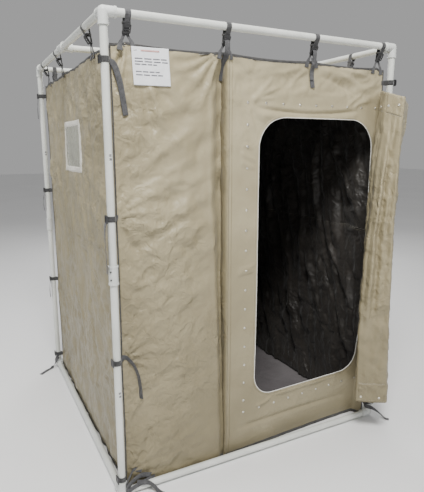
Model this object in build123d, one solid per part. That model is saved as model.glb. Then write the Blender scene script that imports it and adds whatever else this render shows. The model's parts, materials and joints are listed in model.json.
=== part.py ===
from build123d import *
import math
import os

# ---------------------------------------------------------------------------
# Walk-in fabric enclosure hung inside a plastic-pipe box frame.
# Everything is laid out in "frame" coordinates first: origin on the axis of the
# front-left post at the height of the bottom rails, X along the front,
# Y to the back, Z up.  The last step moves it so the origin is the centre of
# the footprint on the floor.
# ---------------------------------------------------------------------------
frame_w = 1567.0          # post axis to post axis, left to right
frame_d = 1622.0          # post axis to post axis, front to back
frame_h = 2130.0          # bottom rail axis to top rail axis
pipe_r = 16.7             # 1 inch pipe, 33.4 mm outside
pipe_ri = 13.3            # pipe inside radius
sock_r = 21.0             # fitting outside radius
collar_r = 22.5           # thicker rim at the mouth of each socket
sock_len = 52.0           # centre of a fitting to the mouth of its socket
stop = 20.0               # centre of a fitting to the pipe end
bore_r = pipe_r + 0.05    # slip fit of the sockets

tent_gap_x = 30.0         # post axis to side fabric
tent_gap_y = 25.0         # post axis to front and back fabric
cloth = 3.0               # modelled thickness of the fabric walls
tent_top = 2019.0         # top edge of the fabric
z_floor = -collar_r       # the ground
seam_x = 569.0            # seam between the plain front panel and the door panel

open_x0, open_x1 = 751.0, 1485.0     # door opening, left and right edge
open_z0, open_z1 = 288.0, 1750.0     # bottom and top edge
open_rt, open_rb = 150.0, 118.0      # corner radii at the top and the bottom

snap_pitch = 102.0        # press studs are 4 inches apart
snap_x0, snap_z0 = 684.0, 1815.0     # top left press stud
hinge_x, hinge_y = 1530.0, 17.0      # sewn hinge line of the door flap
leaf = [210.0, 166.0, 188.0, 158.0, 150.0]     # the flap's panels between its folds
fold_r = 6.0              # radius of each fold
leaf_t = 2.4              # flap thickness
flap_z0, flap_z1 = 187.0, 1851.0
open_deg = [38.0, 107.0, 84.0, 173.0, -160.0]  # turn at the hinge and each fold when bunched open
fold_gap = 8.0            # bare stretch each side of a fold line

win_y, win_z = frame_d / 2, 1612.0   # window centre on the left wall
win_w, win_h, tape_w = 392.0, 276.0, 30.0
web_w, web_t = 25.0, 1.6             # webbing

os.makedirs("parts", exist_ok=True)
to_part = Location((-frame_w / 2, -frame_d / 2, -z_floor))
nodes = {}


def add(name, shape):
    nodes[name] = shape


def slab(x0, x1, y0, y1, z0, z1):
    return Pos((x0 + x1) / 2, (y0 + y1) / 2, (z0 + z1) / 2) * Box(x1 - x0, y1 - y0, z1 - z0)


def rod(r, a, b):
    """Solid cylinder from point a to point b."""
    d = Vector(*b) - Vector(*a)
    return extrude(Plane(origin=a, z_dir=d) * Circle(r), amount=d.length)


def pipe(a, b):
    return rod(pipe_r, a, b) - rod(pipe_ri, a, b)


def group(*solids):
    out = []
    for s in solids:
        out += list(s.solids())
    return Compound(children=out)


def vec(*v):
    return Vector(*v)


def off(p, d, n):
    return tuple(p[i] + d[i] * n for i in range(3))


def fitting(c, dirs):
    """Moulded socket fitting: one collared socket along each direction."""
    body = Pos(*c) * Sphere(sock_r)
    for d in dirs:
        body += rod(sock_r, c, off(c, d, sock_len))
        body += rod(collar_r, off(c, d, sock_len - 9), off(c, d, sock_len))
    for d in dirs:
        body -= rod(bore_r, off(c, d, stop), off(c, d, sock_len + 1))
    return body


W, D, H = frame_w, frame_d, frame_h
ins = stop + 0.2          # pipe end stands just off the stop

# ---------------------------------------------------------------- frame pipes
corners = {"front_left": (0, 0), "front_right": (W, 0), "back_left": (0, D), "back_right": (W, D)}
for name, (x, y) in corners.items():
    add(f"post_{name}_lower", pipe((x, y, ins), (x, y, H / 2 - 2)))
    add(f"post_{name}_upper", pipe((x, y, H / 2 + 2), (x, y, H - ins)))

add("bottom_rail_front", pipe((ins, 0, 0), (W - ins, 0, 0)))
add("bottom_rail_back", pipe((ins, D, 0), (W - ins, D, 0)))
add("bottom_rail_left", pipe((0, ins, 0), (0, D - ins, 0)))
add("bottom_rail_right", pipe((W, ins, 0), (W, D - ins, 0)))
add("top_rail_front", pipe((ins, 0, H), (W - ins, 0, H)))
add("top_rail_back", pipe((ins, D, H), (W - ins, D, H)))
for side, x in (("left", 0), ("right", W)):
    add(f"top_rail_{side}_front_half", pipe((x, ins, H), (x, D / 2 - ins, H)))
    add(f"top_rail_{side}_back_half", pipe((x, D / 2 + ins, H), (x, D - ins, H)))
add("cross_beam", pipe((ins, D / 2, H), (W - ins, D / 2, H)))

# ------------------------------------------------------------------- fittings
low, top = [], []
for x, y in corners.values():
    dx, dy = (1, 0, 0) if x == 0 else (-1, 0, 0), (0, 1, 0) if y == 0 else (0, -1, 0)
    low.append(fitting((x, y, 0), [dx, dy, (0, 0, 1)]))
    top.append(fitting((x, y, H), [dx, dy, (0, 0, -1)]))
add("bottom_corner_fittings", group(*low))
add("top_corner_fittings", group(*top))
add("cross_beam_tees", group(
    fitting((0, D / 2, H), [(0, 1, 0), (0, -1, 0), (1, 0, 0)]),
    fitting((W, D / 2, H), [(0, 1, 0), (0, -1, 0), (-1, 0, 0)])))

coups, screws = [], []
for x, y in corners.values():
    c = rod(sock_r, (x, y, H / 2 - 42), (x, y, H / 2 + 42))
    for s in (-1, 1):
        c += rod(collar_r, (x, y, H / 2 + s * 34), (x, y, H / 2 + s * 42))
        c -= rod(bore_r, (x, y, H / 2 + s * 1.5), (x, y, H / 2 + s * 43))
    coups.append(c)
    sx, sy = (-1 if x == 0 else 1), (-1 if y == 0 else 1)
    u = (sx * math.sqrt(0.5), sy * math.sqrt(0.5))
    for s in (-1, 1):
        z = H / 2 + s * 18
        head = rod(3.6, (x + u[0] * 21.0, y + u[1] * 21.0, z), (x + u[0] * 23.2, y + u[1] * 23.2, z))
        head -= rod(1.3, (x + u[0] * 22.0, y + u[1] * 22.0, z), (x + u[0] * 24, y + u[1] * 24, z))
        screws.append(head)
add("post_couplings", group(*coups))
add("coupling_screws", group(*screws))

# ----------------------------------------------------------------- tent walls
X0, X1 = tent_gap_x, W - tent_gap_x
Y0, Y1 = tent_gap_y, D - tent_gap_y
Zt, Zb = tent_top, z_floor
c = cloth
add("tent_floor", slab(X0, X1, Y0, Y1, Zb, Zb + c))
add("tent_roof", slab(X0, X1, Y0, Y1, Zt - c, Zt))
add("front_left_panel", slab(X0, seam_x, Y0, Y0 + c, Zb + c, Zt - c))
add("back_wall", slab(X0, X1, Y1 - c, Y1, Zb + c, Zt - c))
add("right_wall", slab(X1 - c, X1, Y0 + c, Y1 - c, Zb + c, Zt - c))


def opening_face(grow):
    """Door opening outline in the X-Z plane, grown by the given margin."""
    x0, x1, z0, z1 = open_x0 - grow, open_x1 + grow, open_z0 - grow, open_z1 + grow
    rt, rb = open_rt + grow, open_rb + grow
    q = math.sqrt(0.5)
    pts = [
        Line((x0 + rb, z0), (x1 - rb, z0)),
        ThreePointArc((x1 - rb, z0), (x1 - rb + rb * q, z0 + rb - rb * q), (x1, z0 + rb)),
        Line((x1, z0 + rb), (x1, z1 - rt)),
        ThreePointArc((x1, z1 - rt), (x1 - rt + rt * q, z1 - rt + rt * q), (x1 - rt, z1)),
        Line((x1 - rt, z1), (x0 + rt, z1)),
        ThreePointArc((x0 + rt, z1), (x0 + rt - rt * q, z1 - rt + rt * q), (x0, z1 - rt)),
        Line((x0, z1 - rt), (x0, z0 + rb)),
        ThreePointArc((x0, z0 + rb), (x0 + rb - rb * q, z0 + rb - rb * q), (x0 + rb, z0)),
    ]
    return make_face(Curve() + pts)


def front_plate(face, y_front, thick):
    """Extrude an X-Z outline from its front face y_front towards the back."""
    pl = Plane(origin=(0, y_front, 0), x_dir=(1, 0, 0), z_dir=(0, -1, 0))
    return extrude(pl * face, amount=-thick)


door = slab(seam_x, X1, Y0, Y0 + c, Zb + c, Zt - c)
door -= front_plate(opening_face(0), Y0 - 1, c + 2)
add("door_panel", door)
add("door_opening_hem", front_plate(opening_face(13) - opening_face(0.5), Y0 - 1.2, 1.2))

left = slab(X0, X0 + c, Y0 + c, Y1 - c, Zb + c, Zt - c)
pw, ph = win_w - 2 * tape_w, win_h - 2 * tape_w
left -= slab(X0 - 1, X0 + c + 1, win_y - pw / 2, win_y + pw / 2, win_z - ph / 2, win_z + ph / 2)
add("left_wall", left)
tape = slab(X0 - 1.2, X0, win_y - win_w / 2, win_y + win_w / 2, win_z - win_h / 2, win_z + win_h / 2)
tape -= slab(X0 - 2, X0 + 1, win_y - pw / 2, win_y + pw / 2, win_z - ph / 2, win_z + ph / 2)
add("window_tape_frame", tape)
add("window_pane", slab(X0 + c, X0 + c + 0.9, win_y - pw / 2 - 12, win_y + pw / 2 + 12,
                        win_z - ph / 2 - 12, win_z + ph / 2 + 12))

add("notice_card", slab(117, 281, Y0 - 1.0, Y0, 1863, 2015))

# binding tape along the edges of the tent, one strip per edge
b, bt = 14.0, 1.2
binds = [
    slab(X0, X1, Y0 - bt, Y0, Zt - 3.5, Zt + 8), slab(X0, X1, Y1, Y1 + bt, Zt - 3.5, Zt + 8),
    slab(X0 - bt, X0, Y0, Y1, Zt - 3.5, Zt + 8), slab(X1, X1 + bt, Y0, Y1, Zt - 3.5, Zt + 8),
]
for x in (X0 - bt, X1):
    for y0_, y1_ in ((Y0, Y0 + b), (Y1 - b, Y1)):
        binds.append(slab(x, x + bt, y0_, y1_, Zb + 22, Zt - 5))
for y0_ in (Y0 - bt, Y1):
    binds.append(slab(X0, X1, y0_, y0_ + bt, Zb + 2, Zb + 16))
for x in (X0 - bt, X1):
    binds.append(slab(x, x + bt, Y0, Y1, Zb + 2, Zb + 16))
add("edge_binding", group(*binds))

# ------------------------------------------------ press studs and the door flap
studs = []
cols = [(snap_x0, snap_z0 - snap_pitch * i) for i in range(17)]
row_t = [(snap_x0 + snap_pitch * i, snap_z0) for i in range(1, 9)]
row_b = [(snap_x0 + snap_pitch * i, flap_z0 + 30) for i in range(1, 9)]
cols = [p for p in cols if p[1] > flap_z0 + 60]
row_b = [(snap_x0, flap_z0 + 30)] + row_b
snaps = cols + row_t + row_b
for x, z in snaps:
    s = rod(6.0, (x, Y0 - 0.9, z), (x, Y0, z))
    s += rod(3.2, (x, Y0 - 3.0, z), (x, Y0 - 0.9, z))
    studs.append(s)
add("press_studs", group(*studs))

starts = [0.0]
for l in leaf:
    starts.append(starts[-1] + l)
# fold axes with the flap closed: (x, y)
side = [0.0, -fold_r, -fold_r, -fold_r, fold_r]
axes_closed = [(hinge_x - starts[k], hinge_y + side[k]) for k in range(5)]


def turn_about(x, y, deg):
    return Location((x, y, 0)) * Location((0, 0, 0), (0, 0, deg)) * Location((-x, -y, 0))


def leaf_pose(k):
    """Placement of panel k when the flap hangs bunched open."""
    loc = Location((0, 0, 0))
    for i in range(k + 1):
        loc = loc * turn_about(axes_closed[i][0], axes_closed[i][1], open_deg[i])
    return loc


def rest_axis(k):
    """Position of fold axis k with the flap bunched open."""
    loc = Location((0, 0, 0))
    for i in range(k):
        loc = loc * turn_about(axes_closed[i][0], axes_closed[i][1], open_deg[i])
    p = (loc * Location((axes_closed[k][0], axes_closed[k][1], 0))).position
    return p.X, p.Y


names = ["a", "b", "c", "d", "e"]
for k in range(5):
    xr = hinge_x - starts[k] - (6.0 if k == 0 else fold_gap)
    xl = hinge_x - starts[k + 1] + (fold_gap if k < 4 else 0.0)
    plate = slab(xl, xr, hinge_y - leaf_t / 2, hinge_y + leaf_t / 2, flap_z0, flap_z1)
    add(f"door_flap_panel_{names[k]}", plate.moved(leaf_pose(k)))
    socks = []
    for x, z in snaps:
        if xl - 6 < x < xr + 6:
            s = rod(6.0, (x, hinge_y + leaf_t / 2, z), (x, hinge_y + leaf_t / 2 + 2.6, z))
            s -= rod(3.4, (x, hinge_y + leaf_t / 2 + 1.0, z), (x, hinge_y + leaf_t / 2 + 3, z))
            cap = rod(6.2, (x, hinge_y - leaf_t / 2 - 1.0, z), (x, hinge_y - leaf_t / 2, z))
            socks += [s, cap]
    add(f"snap_caps_{names[k]}", group(*[s.moved(leaf_pose(k)) for s in socks]))
# sewn hinge tape that joins the flap to the door panel
add("flap_hinge_tape", slab(hinge_x - 2.0, hinge_x + 7.0, Y0 - 4.2, Y0, flap_z0, flap_z1 + 60))

# ------------------------------------------------------------ straps and buckles


def web_loop(r, tip, tip_r=4.0):
    """Webbing loop in a plane: round a pipe of radius r and down to a small ring at tip."""
    def hull(a, bb):
        sk = Circle(a) + Pos(tip[0], tip[1]) * Circle(bb)
        return make_hull(sk.edges())
    return hull(r + 0.3 + web_t, tip_r) - hull(r + 0.3, tip_r - web_t)


def buckle():
    """Ladder-lock adjuster: lies in local X-Y, hinge bar on the X axis at y = 0, z up."""
    w, h, t = 34.0, 36.0, 4.4
    body = Pos(0, h / 2 - 3.0, 0) * Box(w, h, t)
    body = fillet(body.edges().filter_by(Axis.Z), 4.0)
    body -= Pos(0, 7.0, 0) * Box(w - 8, 7.0, t + 2)
    body -= Pos(0, 18.5, 0) * Box(w - 8, 7.5, t + 2)
    tab = Pos(0, h - 3.5, 1.6) * Box(w - 10, 7.0, 2.4)
    return body + fillet(tab.edges().filter_by(Axis.X), 1.0)


tip = (25.5, -67.0)
rail_x = [98.0, 558.0, 1050.0, 1489.0]            # front and back rail straps
rail_y = [300.0, 811.0 + 170.0, 1430.0]           # left and right rail straps

straps, anchors = [], []


def rail_plane(kind, pos):
    if kind == "front":
        return Plane(origin=(pos - web_w / 2, 0, H), x_dir=(0, 1, 0), z_dir=(1, 0, 0))
    if kind == "back":
        return Plane(origin=(pos + web_w / 2, D, H), x_dir=(0, -1, 0), z_dir=(-1, 0, 0))
    if kind == "left":
        return Plane(origin=(0, pos + web_w / 2, H), x_dir=(1, 0, 0), z_dir=(0, -1, 0))
    return Plane(origin=(W, pos - web_w / 2, H), x_dir=(-1, 0, 0), z_dir=(0, 1, 0))


def place_buckle(kind, pos):
    """Buckle plane on the outer run of a rail strap."""
    a, bq = (-15.5, -9.5), (tip[0] - 3.4, tip[1] - 2.0)
    L = math.hypot(bq[0] - a[0], bq[1] - a[1])
    ux, uz = (a[0] - bq[0]) / L, (a[1] - bq[1]) / L        # up along the run
    nx, nz = uz * -1.0, ux                                  # outward normal
    if nx > 0:
        nx, nz = -nx, -nz
    o = (bq[0] + ux * 5 + nx * 4.6, bq[1] + uz * 5 + nz * 4.6)
    pl = rail_plane(kind, pos)
    c3 = pl.origin + pl.z_dir * (web_w / 2)
    yd, zd = pl.x_dir, Vector(0, 0, 1)
    org = c3 + yd * o[0] + zd * o[1]
    n3 = yd * nx + zd * nz
    u3 = yd * ux + zd * uz
    xd = u3.cross(n3)
    return Plane(origin=org, x_dir=xd, z_dir=n3)


hinged, fixed = {}, []
pos_names = ["1", "2", "3", "4"]
buckle_axes = {}
for kind, plist in (("front", rail_x), ("back", rail_x), ("left", rail_y), ("right", rail_y)):
    for i, p in enumerate(plist):
        pl = rail_plane(kind, p)
        straps.append(extrude(pl * web_loop(pipe_r, tip), amount=web_w))
        # anchor plate stands in the plane of the wall
        mid = pl.origin + pl.z_dir * (web_w / 2)
        apl = Plane(origin=mid + pl.x_dir * (tip[0] + web_t / 2) + Vector(0, 0, Zt - H + 8.2),
                    x_dir=pl.z_dir, z_dir=pl.z_dir.cross(Vector(0, 0, 1)))
        zt = H + tip[1] - Zt - 8.2
        outer = make_face(Polyline((-37, 0), (37, 0), (15.4, zt + 1.3), (-15.4, zt + 1.3), close=True))
        inner = make_face(Polyline((-27, 4), (27, 4), (12.9, zt - 1.3), (-12.9, zt - 1.3), close=True))
        anchors.append(extrude(apl * (outer - inner), amount=web_t / 2, both=True))
        bp = place_buckle(kind, p)
        bk = bp * buckle()
        if kind == "front":
            add(f"rail_buckle_{pos_names[i]}", bk)
            buckle_axes[f"rail_buckle_{pos_names[i]}"] = (bp.origin, bp.x_dir)
        else:
            fixed.append(bk)

# loops of webbing round the posts
levels = [72.0, 660.0, 1310.0, 1950.0]
post_loops, post_fixed = [], []
for name, (x, y) in corners.items():
    ix, iy = (1 if x == 0 else -1), (1 if y == 0 else -1)
    for j, z in enumerate(levels):
        sk = Circle(pipe_r + 0.3 + web_t) + Pos(ix * 24.0, iy * 19.0) * Circle(4.0)
        si = Circle(pipe_r + 0.3) + Pos(ix * 24.0, iy * 19.0) * Circle(2.4)
        band = make_hull(sk.edges()) - make_hull(si.edges())
        post_loops.append(extrude(Plane(origin=(x, y, z - web_w / 2)) * band, amount=web_w))
        # buckle on the outer side of the post, hinge bar upright
        oy = iy * 13.0
        pl = Plane(origin=(x - ix * 22.2, y + oy, z), x_dir=(0, 0, 1), z_dir=(-ix, 0, 0))
        bk = buckle()
        # local y runs away from the hinge bar, towards the outside corner
        if pl.y_dir.Y * iy > 0:
            pl = Plane(origin=(x - ix * 22.2, y + oy, z), x_dir=(0, 0, -1), z_dir=(-ix, 0, 0))
        bk = pl * bk
        if name == "front_left":
            add(f"post_buckle_{j + 1}", bk)
            buckle_axes[f"post_buckle_{j + 1}"] = (pl.origin, pl.x_dir)
        else:
            post_fixed.append(bk)
add("hanging_straps", group(*straps, *post_loops))
add("strap_anchors", group(*anchors))
add("other_strap_buckles", group(*fixed, *post_fixed))

# loose tails of webbing, flat strips
tails = []


def tail_xz(pts, y):
    pl = Plane(origin=(0, y, 0), x_dir=(1, 0, 0), z_dir=(0, -1, 0))
    return extrude(pl * trace(Polyline(*pts), web_w), amount=web_t)


def tail_yz(pts, x):
    pl = Plane(origin=(x, 0, 0), x_dir=(0, 1, 0), z_dir=(1, 0, 0))
    return extrude(pl * trace(Polyline(*pts), web_w), amount=web_t)


tails.append(tail_xz([(48, 1925), (60, 1868), (87, 1738)], Y0 - 3.2))
tails.append(tail_xz([(558, 2040), (564, 1908)], Y0 - 3.2))
tails.append(tail_xz([(1050, 2040), (1058, 1900)], Y0 - 3.2))
tails.append(tail_xz([(50, 640), (72, 560), (112, 450)], Y0 - 3.2))
tails.append(tail_yz([(2, 1285), (-3, 1170), (-6, 1075)], -27.5))
tails.append(tail_yz([(D - 4, 1925), (D + 2, 1860), (D, 1800)], -28.0))
tails.append(tail_yz([(D - 4, 1285), (D + 4, 1210), (D + 2, 1165)], -28.0))
tails.append(tail_yz([(D - 4, 635), (D - 2, 560), (D, 520)], -28.0))
for pts in ([(40, -34), (110, -52), (178, -104)], [(W - 60, -40), (W - 10, -60), (W + 75, -140)],
            [(-30, D - 30), (-95, D - 70), (-150, D - 120)]):
    fl = extrude(Plane(origin=(0, 0, z_floor + 0.2)) * trace(Polyline(*pts), web_w), amount=web_t)
    tails.append(fl)
add("strap_tails", group(*tails))

# --------------------------------------------------------------------- export
for name, shape in nodes.items():
    out = shape.moved(to_part)
    out.label = name
    export_step(out, f"parts/{name}.step")

print(len(nodes), "nodes")
for k in range(5):
    x, y = rest_axis(k)
    print("axis", names[k], round(x - W / 2, 3), round(y - D / 2, 3), "deg", open_deg[k])
for n, (o, d) in buckle_axes.items():
    print("buckle", n, round(o.X - W / 2, 3), round(o.Y - D / 2, 3), round(o.Z - z_floor, 3),
          "dir", round(d.X, 4), round(d.Y, 4), round(d.Z, 4))
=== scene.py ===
import json
import math

import bmesh
import bpy
import numpy as np
from mathutils import Matrix, Vector

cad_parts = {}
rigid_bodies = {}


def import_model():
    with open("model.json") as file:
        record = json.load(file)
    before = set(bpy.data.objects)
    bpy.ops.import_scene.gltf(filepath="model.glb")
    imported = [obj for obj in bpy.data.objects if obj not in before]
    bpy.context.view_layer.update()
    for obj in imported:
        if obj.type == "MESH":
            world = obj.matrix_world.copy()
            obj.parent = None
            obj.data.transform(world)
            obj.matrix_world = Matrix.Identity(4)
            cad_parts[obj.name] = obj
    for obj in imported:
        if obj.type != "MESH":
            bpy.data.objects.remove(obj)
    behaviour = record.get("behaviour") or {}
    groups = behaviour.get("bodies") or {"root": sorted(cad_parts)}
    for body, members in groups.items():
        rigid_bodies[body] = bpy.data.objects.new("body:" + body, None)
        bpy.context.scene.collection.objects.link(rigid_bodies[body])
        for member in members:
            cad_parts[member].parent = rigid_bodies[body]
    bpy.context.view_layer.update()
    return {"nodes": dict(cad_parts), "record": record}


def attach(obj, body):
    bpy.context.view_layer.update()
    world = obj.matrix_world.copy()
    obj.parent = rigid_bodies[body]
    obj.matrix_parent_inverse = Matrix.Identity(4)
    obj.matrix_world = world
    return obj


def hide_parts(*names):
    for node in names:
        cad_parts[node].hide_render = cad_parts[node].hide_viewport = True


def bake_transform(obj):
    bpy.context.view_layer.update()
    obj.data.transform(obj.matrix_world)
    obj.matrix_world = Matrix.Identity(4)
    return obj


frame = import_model()
NODES = frame["nodes"]

# --------------------------------------------------------------------- layout
# Lengths below are millimetres in the frame's own corner coordinates: origin on
# the front left post at the bottom rails, X right, Y back, Z up.
W, D, H = 1567.0, 1622.0, 2130.0
X0, X1, Y0, Y1 = 30.0, 1537.0, 25.0, 1597.0
ZT, ZB = 2019.0, -21.0
SEAM = 569.0
OX0, OX1, OZ0, OZ1, ORT, ORB = 751.0, 1485.0, 288.0, 1750.0, 150.0, 118.0
PIPE = 16.7
RAIL_X = [98.0, 558.0, 1050.0, 1489.0]
RAIL_Y = [300.0, 981.0, 1430.0]
LEVELS = [72.0, 660.0, 1310.0, 1950.0]
WIN_Y, WIN_Z, WIN_W, WIN_H, TAPE = 811.0, 1612.0, 392.0, 276.0, 30.0
SHIFT = np.array([783.5, 811.0, -22.5])


def M(p):
    """Corner coordinates in mm to the row frame in metres."""
    return (np.asarray(p, float) - SHIFT) * 0.001


def sstep(a, b, x):
    t = np.clip((x - a) / (b - a), 0, 1)
    return t * t * (3 - 2 * t)


def bump1(x, c, w):
    return np.exp(-(((x - c) / w) ** 2))


# ---------------------------------------------------------------------- noise
def _grad(ix, iy, seed):
    h = (ix.astype(np.int64) * 374761393 + iy.astype(np.int64) * 668265263 + seed * 974634777) & 0xFFFFFFFF
    h = ((h ^ (h >> 13)) * 1274126177) & 0xFFFFFFFF
    h = (h ^ (h >> 16)) & 0xFFFFFFFF
    a = h.astype(float) * (2 * math.pi / 4294967296.0)
    return np.cos(a), np.sin(a)


def gn(x, y, seed=0):
    """Smooth gradient noise, about -0.7 to 0.7."""
    x, y = np.broadcast_arrays(np.asarray(x, float), np.asarray(y, float))
    ix, iy = np.floor(x), np.floor(y)
    fx, fy = x - ix, y - iy
    u, v = fx**3 * (fx * (fx * 6 - 15) + 10), fy**3 * (fy * (fy * 6 - 15) + 10)
    out = 0
    for dx in (0, 1):
        for dy in (0, 1):
            gx, gy = _grad(ix + dx, iy + dy, seed)
            d = gx * (fx - dx) + gy * (fy - dy)
            out = out + d * (u if dx else 1 - u) * (v if dy else 1 - v)
    return out * 1.4


def crumple(x, y, seed=0, octaves=3, gain=0.5):
    """Creased cloth: facets that meet in sharp ridges and valleys, about -1 to 1."""
    wx = x + 0.55 * gn(x * 0.9 + 3.1, y * 0.9, seed + 11)
    wy = y + 0.55 * gn(x * 0.9, y * 0.9 + 7.7, seed + 12)
    out, amp, tot, f = 0, 1.0, 0.0, 1.0
    for o in range(octaves):
        a = np.abs(gn(wx * f + 5.3 * o, wy * f - 2.9 * o, seed + o))
        b = np.abs(gn(wx * f * 0.83 + 9.1 * o, wy * f * 0.83 + 4.2 * o, seed + 31 + o))
        out = out + amp * (a - b) * 2.0
        tot += amp
        amp *= gain
        f *= 2.05
    return out / tot


def along(x, y, deg, across, length, seed):
    """Long soft folds that run in one direction."""
    c, s = math.cos(math.radians(deg)), math.sin(math.radians(deg))
    u, v = (x * c + y * s) / length, (-x * s + y * c) / across
    v = v + 0.35 * gn(u * 1.3, v * 0.5, seed + 5)
    return gn(u, v, seed)


def crease(x, y, p, q, width, sharp=1.0, bend=0.0):
    """A pulled crease from p to q that fades at both ends: 0 to 1, thin and sharp in the middle."""
    px, py = p
    dx, dy = q[0] - p[0], q[1] - p[1]
    L = math.hypot(dx, dy)
    ux, uy = dx / L, dy / L
    t = ((x - px) * ux + (y - py) * uy) / L
    d = -(x - px) * uy + (y - py) * ux
    d = d - bend * 4 * t * (1 - t)
    end = sstep(0.0, 0.18, t) * sstep(1.0, 0.6, t)
    return np.exp(-np.abs(d / width) ** (1.0 + sharp)) * end


def fan(x, y, c, a0, a1, n, reach, seed, start=20.0):
    """Gathers that spread from a pulled point c between two directions, in degrees."""
    dx, dy = x - c[0], y - c[1]
    r = np.hypot(dx, dy)
    th = np.degrees(np.arctan2(dy, dx))
    t = (th - a0) / (a1 - a0)
    wob = 0.25 * gn(r / 130.0 + seed, th / 25.0, seed)
    ph = (t + wob * 0.25) * n * math.pi
    edge = sstep(-0.08, 0.1, t) * sstep(1.08, 0.9, t)
    return np.cos(ph) * edge * np.exp(-r / reach) * sstep(0, start, r)


# --------------------------------------------------------------- mesh helpers
def mesh_obj(name, verts, faces, mats, midx=None, smooth=True):
    me = bpy.data.meshes.new(name)
    me.from_pydata([tuple(v) for v in np.asarray(verts, float)], [], [tuple(int(i) for i in f) for f in faces])
    for m in mats:
        me.materials.append(m)
    if midx is not None:
        me.polygons.foreach_set("material_index", np.asarray(midx, np.int32))
    me.polygons.foreach_set("use_smooth", np.full(len(me.polygons), smooth))
    me.update()
    ob = bpy.data.objects.new(name, me)
    bpy.context.scene.collection.objects.link(ob)
    return ob


def grid_faces(nu, nv, wrap=False):
    i = np.arange(nu * nv).reshape(nu, nv)
    if wrap:
        i = np.vstack([i, i[:1]])
    return np.stack([i[:-1, :-1], i[1:, :-1], i[1:, 1:], i[:-1, 1:]], -1).reshape(-1, 4)


def vnormals(verts, faces):
    v = np.asarray(verts, float)
    f = np.asarray(faces, int)
    n = np.cross(v[f[:, 2]] - v[f[:, 0]], v[f[:, 3]] - v[f[:, 1]])
    out = np.zeros_like(v)
    for k in range(4):
        np.add.at(out, f[:, k], n)
    return out / np.maximum(np.linalg.norm(out, axis=1, keepdims=True), 1e-12)


def shell(name, verts, faces, thick, mats, flip=False, inner=True, normals=None):
    """Cloth with an outer and an inner face. verts in metres lie on the outer face; mats are outer, inner, edge."""
    v = np.asarray(verts, float)
    f = np.asarray(faces, int)
    if flip:
        f = f[:, ::-1]
    n = vnormals(v, f) if normals is None else normals
    back = v - n * thick
    m = len(v)
    e = np.concatenate([f[:, [0, 1]], f[:, [1, 2]], f[:, [2, 3]], f[:, [3, 0]]])
    key = np.sort(e, 1)
    _, inv, cnt = np.unique(key, axis=0, return_inverse=True, return_counts=True)
    b = e[cnt[inv.ravel()] == 1]
    rim = np.stack([b[:, 1], b[:, 0], b[:, 0] + m, b[:, 1] + m], -1)
    allf = np.concatenate([f, f[:, [0, 3, 2, 1]] + m, rim])
    mi = np.minimum(np.concatenate([np.zeros(len(f)), np.ones(len(f)), np.full(len(rim), 2)]), len(mats) - 1).astype(int)
    return mesh_obj(name, np.concatenate([v, back]), allf, mats, mi)


def sweep(name, path, wdir, width, thick, mat, ride="root", round_=0.45, taper=None):
    """A strip of webbing along path (metres), width along wdir."""
    p = np.asarray(path, float)
    wd = np.asarray(wdir, float)
    if wd.ndim == 1:
        wd = np.repeat(wd[None], len(p), 0)
    t = np.gradient(p, axis=0)
    t /= np.linalg.norm(t, axis=1, keepdims=True)
    wd = wd - (wd * t).sum(1, keepdims=True) * t
    wd /= np.linalg.norm(wd, axis=1, keepdims=True)
    nn = np.cross(t, wd)
    w, h = width / 2, thick / 2
    k = np.linspace(-1, 1, 7)
    sec = [(a * (w - h * round_), h * (1 - 0.10 * (1 - abs(a)) * 0)) for a in k]
    sec = sec + [(w, 0.0)] + [(-a, -b) for a, b in sec] + [(-w, 0.0)]
    sec = np.array(sec)
    sc = np.ones(len(p)) if taper is None else np.asarray(taper)
    V = (p[:, None, :] + wd[:, None, :] * (sec[None, :, 0:1] * sc[:, None, None]) + nn[:, None, :] * sec[None, :, 1:2])
    ns = len(sec)
    i = np.arange(len(p) * ns).reshape(len(p), ns)
    j = np.roll(i, -1, axis=1)
    f = np.stack([i[:-1], j[:-1], j[1:], i[1:]], -1).reshape(-1, 4).tolist()
    f.append(list(i[0][::-1]))
    f.append(list(i[-1]))
    ob = mesh_obj(name, V.reshape(-1, 3), f, [mat])
    if ride:
        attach(ob, ride)
    return ob


def spline(pts, n):
    """Catmull-Rom through pts, n samples, evenly spaced."""
    p = np.asarray(pts, float)
    q = np.vstack([2 * p[0] - p[1], p, 2 * p[-1] - p[-2]])
    out = []
    m = max(8, 3 * n // max(1, len(p) - 1))
    for i in range(1, len(q) - 2):
        t = np.linspace(0, 1, m, endpoint=False)[:, None]
        a, b, c, d = q[i - 1], q[i], q[i + 1], q[i + 2]
        out.append(0.5 * (2 * b + (c - a) * t + (2 * a - 5 * b + 4 * c - d) * t**2 + (3 * b - a - 3 * c + d) * t**3))
    out = np.vstack(out + [q[-2][None]])
    s = np.r_[0, np.cumsum(np.linalg.norm(np.diff(out, axis=0), axis=1))]
    u = np.linspace(0, s[-1], n)
    return np.stack([np.interp(u, s, out[:, k]) for k in range(out.shape[1])], -1)


def join(name, obs):
    """Merges pieces that ride on the same body into one object."""
    bm = bmesh.new()
    mats = []
    for o in obs:
        off = []
        for m in o.data.materials:
            if m not in mats:
                mats.append(m)
            off.append(mats.index(m))
        tmp = o.data.copy()
        tmp.transform(o.matrix_world if o.parent is None else Matrix.Identity(4))
        k = len(bm.faces)
        bm.from_mesh(tmp)
        bm.faces.ensure_lookup_table()
        for fc in bm.faces[k:]:
            fc.material_index = off[fc.material_index] if off else 0
        bpy.data.meshes.remove(tmp)
    me = bpy.data.meshes.new(name)
    bm.to_mesh(me)
    bm.free()
    for m in mats:
        me.materials.append(m)
    for o in obs:
        d = o.data
        bpy.data.objects.remove(o)
        bpy.data.meshes.remove(d)
    ob = bpy.data.objects.new(name, me)
    bpy.context.scene.collection.objects.link(ob)
    return ob


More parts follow.
